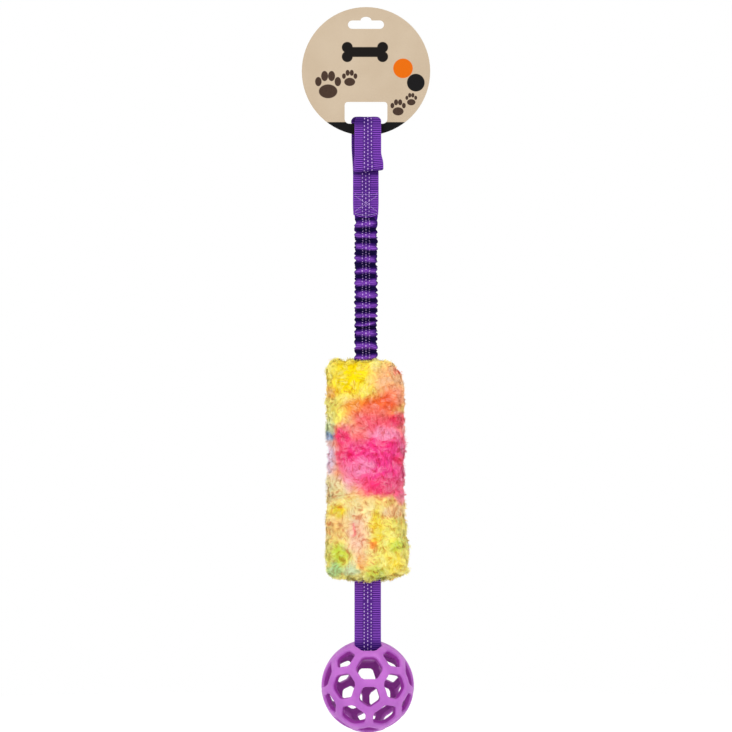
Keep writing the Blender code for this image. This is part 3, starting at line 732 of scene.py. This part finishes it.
def thread_line(name, route, look, body):
    """Stitches along a route: short lengths of thread that dive in at both ends."""
    route = np.array(route, float)
    length = lengths_so_far(route)
    count = max(1, int(length[-1] / STITCH))
    turns = np.linspace(0, 2 * pi, 6, endpoint=False)

    def at(place):
        return np.array([np.interp(place, length, route[:, axis]) for axis in range(3)])

    shape = bmesh.new()
    for number in range(count):
        rings = []
        for share in np.linspace(0, 1, 6):
            place = (number + 0.1 + 0.8 * share) * length[-1] / count
            tangent = unit(at(place + 1e-4) - at(place - 1e-4))
            side = unit(np.cross(tangent, (0, 1, 0)))
            out = np.cross(side, tangent)
            if out[1] > 0:
                out = -out
            middle = at(place) - out * THREAD_DIVE * (2 * share - 1) ** 4
            ring = [middle + THREAD_RADIUS * (cos(turn) * side + sin(turn) * out) for turn in turns]
            rings.append([shape.verts.new(point) for point in ring])
        skin_rings(shape, rings)
    made = new_object(name, finished_mesh(shape, name), look)
    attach(made, body)


def make_seam(look):
    """The stitches that hold the bungee between the handle's two layers."""
    for side, word in ((-1, "front"), (1, "back")):
        y = side * (2 * PLY_HALF + WEB_THICK / 2 + 0.0001)
        for line, up, rise in (("foot", 0.0022, 0.0026), ("top", 0.0215, 0.0012)):
            shares = np.linspace(-0.9, 0.9, 13)
            route = [(u * HANDLE_HALF, y, HANDLE_FOOT_Z + up + rise * u**2) for u in shares]
            thread_line(f"seam_{line}_{word}", route, look, "handle")
        for line, left, right in (("rise", 0.006, 0.0205), ("fall", 0.0205, 0.006)):
            route = [(-0.0104, y, HANDLE_FOOT_Z + left), (0.0104, y, HANDLE_FOOT_Z + right)]
            thread_line(f"seam_{line}_{word}", route, look, "handle")


# Photo rows of the bungee's ridges
RIDGE_ROWS = (223.5, 235.3, 246.8, 258.7, 270.4, 282.2, 294.7, 305.6, 315.2, 323.3, 332.4, 346.2, 357.2)


def pleat_rows(ridges, valleys, side, rng):
    """Rows of points down one gathered layer, and how far each stands out, from 0 to 1."""
    u = np.linspace(-1, 1, 17)
    rows = []
    stands = []
    for ridge, over, under in zip(ridges, valleys, valleys[1:]):
        depth = rng.uniform(0.0044, 0.0066)
        tilt, sway, turn = rng.uniform(-1, 1, 3)
        sharp = rng.uniform(1.1, 2.4)
        # bright scales this ridge's pleat mark, so some ridges take less of the painted highlight.
        bright = rng.uniform(0.78, 1.05)
        wide = rng.uniform(-0.0008, 0.0008, 2)[(u > 0).astype(int)]
        shoulders = rng.uniform(0.0, 0.34, 2)
        wobble = 0.55 * tilt * u + 0.6 * sway * np.sin(2.3 * u + 3 * turn)
        for share in np.linspace(-1, 1, 17)[:-1]:
            z = ridge + abs(share) * ((over if share < 0 else under) - ridge)
            wave = (0.5 + 0.5 * cos(pi * share)) ** sharp
            local = wave * (1 - 0.4 * abs(u) ** 4) * (1 + 0.1 * np.sin(5 * u + 7 * sway))
            shoulder = shoulders[int(share > 0)] * (0.6 + 0.4 * np.sin(3 * u + 5 * turn))
            local += shoulder * sin(pi * abs(share)) ** 4
            ragged = 0.0024 * (abs(np.sin(3.3 * share + 3 * turn + 0.8 * u)) - 0.5)
            flare = 0.0008 * eased((COVER_FOOT_Z + 0.007 - z) / 0.006)
            half = GATHER_HALF + 0.0006 * wave + wide * (1 - wave) + ragged + flare
            y = side * (VALLEY_Y + depth * local)
            rows.append(np.column_stack([u * half, y, z + (0.002 * wobble - 0.001) * wave]))
            stands.append(bright * local)
    rows.append([(share * 0.0098, side * VALLEY_Y, COVER_FOOT_Z) for share in u])
    stands.append(0 * u)
    return np.array(rows), np.array(stands)


def make_cover(word, side, seed, look):
    """One gathered layer of the bungee. The front one's ridges are at the photo's rows."""
    rng = np.random.default_rng(seed)
    ridges = np.array([photo_z(row) for row in RIDGE_ROWS])
    if side > 0:
        ridges = (ridges[:-1] + ridges[1:]) / 2 + rng.uniform(-0.0012, 0.0012, len(ridges) - 1)
    valleys = np.concatenate([[COVER_TOP_Z], (ridges[:-1] + ridges[1:]) / 2, [COVER_FOOT_Z]])
    grid, stands = pleat_rows(ridges, valleys, side, rng)
    columns = np.linspace(-1, 1, grid.shape[1])
    half_thick = GATHER_HALF_THICK * np.sqrt(np.clip(1 - np.abs(columns) ** 12, 0, 1))[:, None]
    offset = half_thick * unit(np.cross(np.gradient(grid, axis=1), np.gradient(grid, axis=0)))
    along = lengths_so_far(grid[:, grid.shape[1] // 2])
    name = f"bungee_pleats_{word}"
    cover = strip_object(name, look, grid + offset, grid - offset, columns * 0.0108, along, pleat=stands)
    smooth = cover.modifiers.new("smooth", "SUBSURF")
    smooth.levels = smooth.render_levels = 1
    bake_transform(cover)
    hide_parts(f"bungee_cover_{word}")


def make_elastic(look):
    """The flat elastic inside the gathers, as one band."""
    shares = np.linspace(-1, 1, 9)
    levels = np.linspace(COVER_TOP_Z, ELASTIC_FOOT_Z, 80)
    profile = [(u * ELASTIC_HALF, -ELASTIC_HALF_THICK * (1 - u**8) ** 0.5) for u in shares]
    front = np.array([[(x, y, z) for x, y in profile] for z in levels])
    band = strip_object("elastic_band", look, front, front * (1, -1, 1), shares * ELASTIC_HALF, levels)
    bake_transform(band)
    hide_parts("elastic_core", "bungee_tail")


# The sleeve's skin from its upper mouth down: photo row, left and right edge as photo columns, and
# half its depth
SLEEVE_ROWS = (
    (361.4, 353.0, 379.0, 0.004), (361.0, 338.0, 385.0, 0.0105), (362.6, 330.5, 389.5, 0.0155),
    (367.5, 327.4, 396.0, 0.018), (375.5, 327.2, 402.4, 0.019), (390.0, 327.6, 403.0, 0.0195),
    (420.0, 328.6, 403.0, 0.0198), (455.0, 329.0, 403.0, 0.0198), (490.0, 328.6, 402.6, 0.0198),
    (520.0, 328.2, 403.6, 0.02), (545.0, 327.6, 406.6, 0.0204), (563.0, 328.2, 407.0, 0.0198),
    (571.0, 328.6, 407.2, 0.0178), (575.4, 330.5, 405.5, 0.013), (576.4, 351.0, 383.0, 0.0045),
)
SHELL_STEPS = 48
SKIN_VOXEL = 0.0045
SEWN_DEPTH = 0.004
SEWN_HALF = 0.016
SWELL_PRESSURE = 4
SWELL_CAP = 0.004
SWELL_FRAMES = 20

# The pile: how many strands and tufts, the range of a tuft's length and rise, and of a strand's half width
STRANDS = 96000
TUFTS = 1700
TUFT_LENGTH = (0.0042, 0.0074)
TUFT_RISE = (0.0008, 0.0019)
STRAND_HALF = (0.00014, 0.00024)
ROOT_DEPTH = 0.0006


def fuller(value):
    """A sine or cosine pushed outward, so that a ring is nearer a rectangle."""
    return np.sign(value) * abs(value) ** 0.8


def sleeve_shell():
    """The skin before it is filled: a flattened tube drawn in at both mouths."""
    shape = bmesh.new()
    rings = []
    for row, left, right, half_depth in SLEEVE_ROWS:
        centre = photo_x((left + right) / 2)
        half = (right - left) / 2 * PIXEL
        ring = []
        for step in range(SHELL_STEPS):
            turn = 2 * pi * step / SHELL_STEPS
            x = centre + half * fuller(cos(turn))
            ring.append(shape.verts.new((x, 0.88 * half_depth * fuller(sin(turn)), photo_z(row))))
        rings.append(ring)
    skin_rings(shape, rings)
    return finished_mesh(shape, "sleeve_shell")


def triples(parts, field, kind=float):
    """A field of a mesh's parts, three numbers each, as an array."""
    numbers = np.zeros(len(parts) * 3, kind)
    parts.foreach_get(field, numbers)
    return numbers.reshape(-1, 3)


def as_shown(made):
    """A copy of an object's mesh as its modifiers leave it."""
    shown = made.evaluated_get(bpy.context.evaluated_depsgraph_get())
    return bpy.data.meshes.new_from_object(shown)


def fill_sleeve(shell):
    """Blow the skin up as its wadding does, held by the seams at its mouths."""
    holder = add_object("filling", shell)
    even = holder.modifiers.new("even", "REMESH")
    even.mode = "VOXEL"
    even.voxel_size = SKIN_VOXEL
    mesh = as_shown(holder)
    holder.modifiers.clear()
    holder.data = mesh
    flat = triples(mesh.vertices, "co")
    mouths = holder.vertex_groups.new(name="mouths")
    height = flat[:, 2]
    near_end = (height > height.max() - SEWN_DEPTH) | (height < height.min() + SEWN_DEPTH)
    sewn = near_end & (np.abs(flat[:, 0]) < SEWN_HALF)
    mouths.add([int(index) for index in np.flatnonzero(sewn)], 1.0, "REPLACE")
    swell = holder.modifiers.new("swell", "CLOTH").settings
    swell.use_pressure = True
    swell.uniform_pressure_force = SWELL_PRESSURE
    swell.vertex_group_mass = "mouths"
    swell.effector_weights.gravity = 0
    for number in range(1, SWELL_FRAMES + 1):
        bpy.context.scene.frame_set(number)
    mesh = as_shown(holder)
    holder.modifiers.clear()
    bpy.context.scene.frame_set(1)
    moved = triples(mesh.vertices, "co") - flat
    far = np.linalg.norm(moved, axis=1)[:, None]
    filled = flat + moved * np.minimum(1, SWELL_CAP / np.maximum(far, 1e-9))
    mesh.vertices.foreach_set("co", filled.ravel())
    bpy.data.objects.remove(holder)
    return mesh


def fit_outline(points):
    """Draw each level of the filled skin to the photograph's left and right edge."""
    x = points[:, 0]
    z = points[:, 2]
    levels = np.linspace(z.min(), z.max(), 60)
    bands = [x[np.abs(z - level) < 0.004] for level in levels]
    now_left = np.interp(z, levels, [band.min() for band in bands])
    now_right = np.interp(z, levels, [band.max() for band in bands])
    rows = np.array(SLEEVE_ROWS[1:-1])[::-1]
    row_z = photo_z(rows[:, 0])
    to_left = np.interp(z, row_z, photo_x(rows[:, 1]))
    to_right = np.interp(z, row_z, photo_x(rows[:, 2]))
    fitted = points.copy()
    fitted[:, 0] = to_left + (x - now_left) / (now_right - now_left) * (to_right - to_left)
    return fitted


def crack_at(place):
    """How deep in a parting between tufts a place lies, from 0 to 1."""
    place = Vector(place)
    broad = max(0, 1 - abs(noise.noise(place / 0.0105)) / 0.085)
    small = max(0, 1 - abs(noise.noise(place / 0.006 + Vector((7, 3, 5)))) / 0.11)
    calm = 0.35 + 0.65 * eased((photo_z(368) - place.z) / 0.028)
    return calm * max(broad, 0.7 * small)


def sleeve_skin():
    """The filled skin, lumpy under its tufts."""
    mesh = fill_sleeve(sleeve_shell())
    mesh.vertices.foreach_set("co", fit_outline(triples(mesh.vertices, "co")).ravel())
    shape = bmesh.new()
    shape.from_mesh(mesh)
    bmesh.ops.subdivide_edges(shape, edges=shape.edges[:], cuts=1, use_grid_fill=True)
    every_way = {"use_axis_x": True, "use_axis_y": True, "use_axis_z": True}
    for _ in range(3):
        bmesh.ops.smooth_vert(shape, verts=shape.verts, factor=0.5, **every_way)
    bmesh.ops.recalc_face_normals(shape, faces=shape.faces)
    shape.normal_update()
    for corner in shape.verts:
        broad = noise.noise(corner.co / 0.014)
        corner.co += corner.normal * (0.002 * broad - 0.0014 * crack_at(corner.co))
    shape.to_mesh(mesh)
    shape.free()
    mesh.name = "fur_skin"
    mesh.update()
    return mesh


def scatter(mesh, count, rng):
    """Random points spread evenly over a mesh, with their normals."""
    mesh.calc_loop_triangles()
    triangles = triples(mesh.loop_triangles, "vertices", np.int64)
    points = triples(mesh.vertices, "co")[triangles]
    normals = triples(mesh.vertices, "normal")[triangles]
    area = np.linalg.norm(np.cross(points[:, 1] - points[:, 0], points[:, 2] - points[:, 0]), axis=1)
    chosen = rng.choice(len(triangles), count, p=area / area.sum())
    first, second = rng.random((2, count))
    over = first + second > 1
    first[over], second[over] = 1 - first[over], 1 - second[over]
    weights = np.column_stack([1 - first - second, first, second])
    roots = np.einsum("ij,ijk->ik", weights, points[chosen])
    return roots, unit(np.einsum("ij,ijk->ik", weights, normals[chosen]))


def along_skin(directions, out):
    """Directions laid into the skin, whose outward side is out."""
    return unit(directions - out * np.sum(directions * out, axis=1)[:, None])


def pile_strands(skin, strands, seed):
    """Strands that lie over the skin in curling tufts: root, bend, tip, out and tone, and the rng."""
    rng = np.random.default_rng(seed)
    tuft_root, tuft_out = scatter(skin, TUFTS, rng)
    curl = rng.normal(0, 1, (TUFTS, 3)) * 0.9 + np.array((0, 0, -0.8))
    tuft_lie = along_skin(curl, tuft_out)
    tuft_length = rng.uniform(*TUFT_LENGTH, (TUFTS, 1))
    tuft_rise = rng.uniform(*TUFT_RISE, (TUFTS, 1))
    tuft_tip = tuft_root + tuft_lie * tuft_length + tuft_out * tuft_rise
    tree = KDTree(TUFTS)
    for index, place in enumerate(tuft_root):
        tree.insert(place, index)
    tree.balance()
    root, out = scatter(skin, strands, rng)
    mine = np.array([tree.find(place)[1] for place in root])
    lie = along_skin(tuft_lie[mine] + rng.normal(0, 0.3, (strands, 3)), out)
    hang = np.clip((photo_z(572.5) - root[:, 2:]) / 0.0035, 0, 1) * rng.uniform(0.3, 1.0, (strands, 1))
    lie = unit(lie * (1 - hang) + hang * (rng.normal(0, 0.25, (strands, 3)) + np.array((0, 0, -1))))
    length = tuft_length[mine] * rng.uniform(0.75, 1.2, (strands, 1)) * (1 - 0.25 * hang)
    stray = np.where(rng.random((strands, 1)) < 0.1, rng.uniform(1.4, 2.4, (strands, 1)), 1.0)
    rise = tuft_rise[mine] * rng.uniform(0.7, 1.2, (strands, 1)) * stray
    bend = root + lie * length * 0.5 + out * rise
    tip = root + lie * length + out * rise * rng.uniform(0.3, 1.0, (strands, 1))
    tip += (tuft_tip[mine] - tip) * rng.uniform(0.15, 0.6, (strands, 1))
    parting = np.array([crack_at(place) for place in root + lie * length * 0.6])
    # A strand's shade mark: random by tuft and by strand, lowered in the partings between tufts as painted
    # shade, and nought on a few strands at random.
    tone = 0.35 + 0.65 * rng.random(TUFTS)[mine] + rng.normal(0, 0.15, strands) - 0.95 * parting
    tone = np.clip(tone, 0, 1)
    tone[rng.random(strands) < 0.02] = 0.0
    return root, bend, tip, out, tone, rng


def pile_mesh(name, root, bend, tip, out, tone, rng):
    """Strands as thin blades, flat side outward, shaded like the skin under them."""
    strands = len(root)
    lie = unit(tip - root)
    twist = rng.normal(0, 0.45, (strands, 1))
    across = unit(np.cross(lie, out)) * np.cos(twist) + out * np.sin(twist)
    aside = across * rng.uniform(*STRAND_HALF, (strands, 1))
    start = root - out * ROOT_DEPTH
    corners = (start - aside, start + aside, bend + aside, bend - aside, tip)
    points = np.stack(corners, axis=1).reshape(-1, 3)
    first = 5 * np.arange(strands)[:, None]
    blades = np.stack([first + (0, 1, 2, 3), first + (3, 2, 4, 4)], axis=1).reshape(-1, 4).tolist()
    mesh = bpy.data.meshes.new(name)
    mesh.from_pydata(points, [], [blade[:3] if blade[2] == blade[3] else blade for blade in blades])
    mark(mesh, "along", np.tile((0.0, 0.0, 0.55, 0.55, 1.0), strands))
    mark(mesh, "shade", np.repeat(tone, 5))
    mesh.shade_smooth()
    facing = unit(out + rng.normal(0, 0.22, (strands, 3)))
    mesh.normals_split_custom_set_from_vertices(np.repeat(facing, 5, axis=0))
    return mesh


def make_sleeve():
    """The padded sleeve: a filled skin, and the pile on its front and on its back."""
    look = fur_paint()
    skin = sleeve_skin()
    # The skin between the strands takes part of the roots' painted shade.
    mark(skin, "along", [0.2] * len(skin.vertices))
    mark(skin, "shade", [0.3] * len(skin.vertices))
    strands = STRANDS
    *shapes, rng = pile_strands(skin, strands, 11)
    in_front = shapes[0][:, 1] < 0
    body = new_object("fur_skin", skin, look)
    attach(body, "sleeve")
    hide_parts("fur_sleeve", "padding_front", "padding_back", "load_webbing_front", "load_webbing_back")
    for word, mine in (("front", in_front), ("back", ~in_front)):
        mesh = pile_mesh(f"fur_pile_{word}", *[part[mine] for part in shapes], rng)
        mesh.materials.append(look)
        pile = add_object(f"fur_pile_{word}", mesh)
        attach(pile, "sleeve")


# The loop's route down, round the ball's rim and back up, in tenths of a millimetre: y, z, half width
LOOP_ROUTE = (
    (-9, -5550, 126), (-9, -5640, 126), (-12, -5715, 126), (-27, -5775, 126), (-58, -5834, 126),
    (-94, -5886, 126), (-122, -5936, 126), (-134, -5974, 124), (-130, -6008, 116), (-104, -6027, 108),
    (-64, -6028, 103), (-24, -6020, 100), (0, -5998, 98), (8, -5958, 98), (12, -5906, 102),
    (16, -5840, 112), (14, -5780, 122), (11, -5715, 126), (9, -5640, 126), (9, -5550, 126),
)


def loop_painted_shade(share, centre):
    """The loop is painted in shade where it goes into the ball."""
    return 0.75 * eased((-0.589 - centre[2]) / 0.008)


def make_ball_strap(look):
    """The strap under the sleeve: down, round the ball's rim through its holes, and back up."""
    x = photo_x(367.7)
    for word, side in (("front", -1), ("back", 1)):
        points = [(x, side * PLY_HALF, z, GRIP_HALF) for z in (-0.529, -0.536, -0.545, -0.555)]
        piece = strap(f"ball_webbing_{word}", points, look, crest=(side * PLY_HALF, photo_z(592.5)))
        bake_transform(piece)
        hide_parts(f"ball_strap_{word}")
    points = [(x, y / 10000, z / 10000, half / 10000) for y, z, half in LOOP_ROUTE]
    crest = (-PLY_HALF, photo_z(592.5))
    loop = strap("ball_loop_webbing", points, look, crest=crest, dark=loop_painted_shade)
    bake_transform(loop)
    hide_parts("ball_loop")


# Ball: two like halves that meet at a rim, as in the CAD, with finer steps
def ball_cells():
    """The corners of the ball's cells, flat and in order round each."""
    shape = bmesh.new()
    bmesh.ops.create_icosphere(shape, subdivisions=1, radius=BALL_RADIUS)
    cut = {"offset": CORNER_PERCENT, "offset_type": "PERCENT", "segments": 1, "affect": "VERTICES"}
    bmesh.ops.bevel(shape, geom=shape.verts[:], **cut)
    upright = Matrix.Rotation(pi / 2, 3, "X") @ Matrix.Rotation(-pi / 2, 3, "Z")
    bmesh.ops.rotate(shape, verts=shape.verts, matrix=upright)
    whole = shape.verts[:] + shape.edges[:] + shape.faces[:]
    bmesh.ops.bisect_plane(shape, geom=whole, plane_no=(0, 1, 0), clear_outer=True)
    front = [[corner.co.copy() for corner in face.verts] for face in shape.faces]
    shape.free()
    back = [[Vector((corner.x, -corner.y, corner.z)) for corner in corners] for corners in front]
    turned = Matrix.Rotation(BALL_TURN, 3, "Z") @ Matrix.Rotation(BALL_TILT, 3, "X")
    return [[turned @ corner for corner in corners] for corners in front + back]


def inset_corner(before, corner, after):
    """A cell's corner once its two sides have moved in by half a strut."""
    arriving = (corner - before).normalized()
    leaving = (after - corner).normalized()
    normal = arriving.cross(leaving).normalized()
    inward = normal.cross(arriving + leaving) / (1 + arriving.dot(leaving))
    return corner + inward * STRUT_WIDTH / 2


def side_points(start, stop, steps):
    """The points that divide a side into equal steps, its two ends with them."""
    return [start.lerp(stop, step / steps) for step in range(steps + 1)]


def open_cell(corners):
    """A holed cell's border in parts, each its points on the cell's side and on the hole's edge."""
    befores = corners[-1:] + corners[:-1]
    afters = corners[1:] + corners[:1]
    hole = [inset_corner(*three) for three in zip(befores, corners, afters)]
    sides = []
    for start, stop, first, last in zip(corners, afters, hole, hole[1:] + hole[:1]):
        steps = max(1, round((stop - start).length / SIDE_STEP))
        cut = (last - first).normalized() * HOLE_CORNER
        sides.append((side_points(start, stop, steps), side_points(first + cut, last - cut, steps)))
    parts = []
    for (edge, rim), (_, last_rim) in zip(sides, sides[-1:] + sides[:-1]):
        parts.append(((edge[0],), (rim[0], last_rim[-1])))
        for step in range(len(edge) - 1):
            parts.append((tuple(edge[step : step + 2]), (rim[step + 1], rim[step])))
    return parts


def shut_cell(corners):
    """A cell without a hole, as wedges round its middle."""
    centre = sum(corners, Vector()) / len(corners)
    wedges = []
    for start, stop in zip(corners, corners[1:] + corners[:1]):
        steps = max(1, round((stop - start).length / SIDE_STEP))
        points = side_points(start, stop, steps)
        wedges += [pair + (centre,) for pair in zip(points, points[1:])]
    return wedges


def on_sphere(points, radius):
    """Points pushed out or in to a sphere."""
    return [point.normalized() * radius for point in points]


def make_ball(look):
    shape = bmesh.new()
    for corners in ball_cells():
        faces = []
        if len(corners) == 4:
            for wedge in shut_cell(corners):
                faces += [on_sphere(wedge, BALL_RADIUS), on_sphere(wedge, BALL_INNER_RADIUS)]
        else:
            for outer_side, hole_side in open_cell(corners):
                outside = on_sphere(outer_side + hole_side, BALL_RADIUS)
                inside = on_sphere(outer_side + hole_side, BALL_INNER_RADIUS)
                faces += [outside, inside, outside[-2:] + inside[:-3:-1]]
        for face in faces:
            shape.faces.new([shape.verts.new(point) for point in face])
    bmesh.ops.remove_doubles(shape, verts=shape.verts, dist=MERGE_DISTANCE)
    bmesh.ops.recalc_face_normals(shape, faces=shape.faces)
    ball = new_object("rubber_lattice", finished_mesh(shape, "rubber_lattice"), look)
    ball.location = (BALL_X, 0, BALL_CENTRE_Z)
    rounder = ball.modifiers.new("round struts", "BEVEL")
    rounder.width = ROUNDING
    rounder.segments = 2
    rounder.limit_method = "ANGLE"
    rounder.angle_limit = radians(50)
    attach(ball, "ball")
    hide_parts("lattice_ball")


def make_studio():
    """A pale floor, soft light and the camera of the photograph."""
    scene = bpy.context.scene
    scene.view_settings.view_transform = "Standard"
    world = bpy.data.worlds.new("studio")
    world.use_nodes = True
    background = world.node_tree.nodes["Background"].inputs
    background["Color"].default_value = (1, 1, 1, 1)
    background["Strength"].default_value = 1.0
    scene.world = world

    shape = bmesh.new()
    bmesh.ops.create_circle(shape, cap_ends=True, segments=96, radius=FLOOR_RADIUS)
    paint = Paint("studio floor")
    paint.surface(Base_Color=(0.98, 0.98, 0.98, 1), Roughness=0.9)
    floor = new_object("floor", finished_mesh(shape, "floor"), paint.material)
    floor.location = (0, 0, FLOOR_Z)

    for name, place, size, power in LAMPS:
        lamp = bpy.data.lights.new(name, "AREA")
        lamp.size = size
        lamp.energy = power
        holder = add_object(name, lamp)
        holder.location = place
        aim = Vector((0, 0, AIM_Z)) - Vector(place)
        holder.rotation_euler = aim.to_track_quat("-Z", "Y").to_euler()

    camera = bpy.data.cameras.new("camera")
    camera.lens = CAMERA_LENS
    camera.sensor_width = 36
    camera.clip_end = 50
    scene.camera = add_object("camera", camera)
    scene.camera.location = (0, -CAMERA_AWAY, photo_z(366))
    scene.camera.rotation_euler = (pi / 2, 0, 0)


webbing = webbing_paint("purple webbing", linear(38, 0, 96), linear(50, 3, 110), linear(166, 92, 224))
shaded = webbing_paint("shaded webbing", linear(48, 4, 106), linear(62, 12, 126), linear(92, 38, 156))
# The gathers' ridge colours are lighter than the other webbing's, as painted highlight; valley is their
# painted shade.
ridge_colours = (linear(90, 32, 144), linear(114, 52, 168), linear(150, 92, 202))
gathered = webbing_paint("gathered webbing", *ridge_colours, valley=linear(14, 0, 58))
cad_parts["header_card"].data.materials[0] = card_paint()

make_grip(webbing)
make_handle(webbing)
make_tab(shaded)
make_seam(thread_paint())
make_cover("front", -1, 5, gathered)
make_cover("back", 1, 8, gathered)
make_elastic(elastic_paint())
make_sleeve()
make_ball_strap(webbing)
make_ball(rubber_paint())
make_studio()
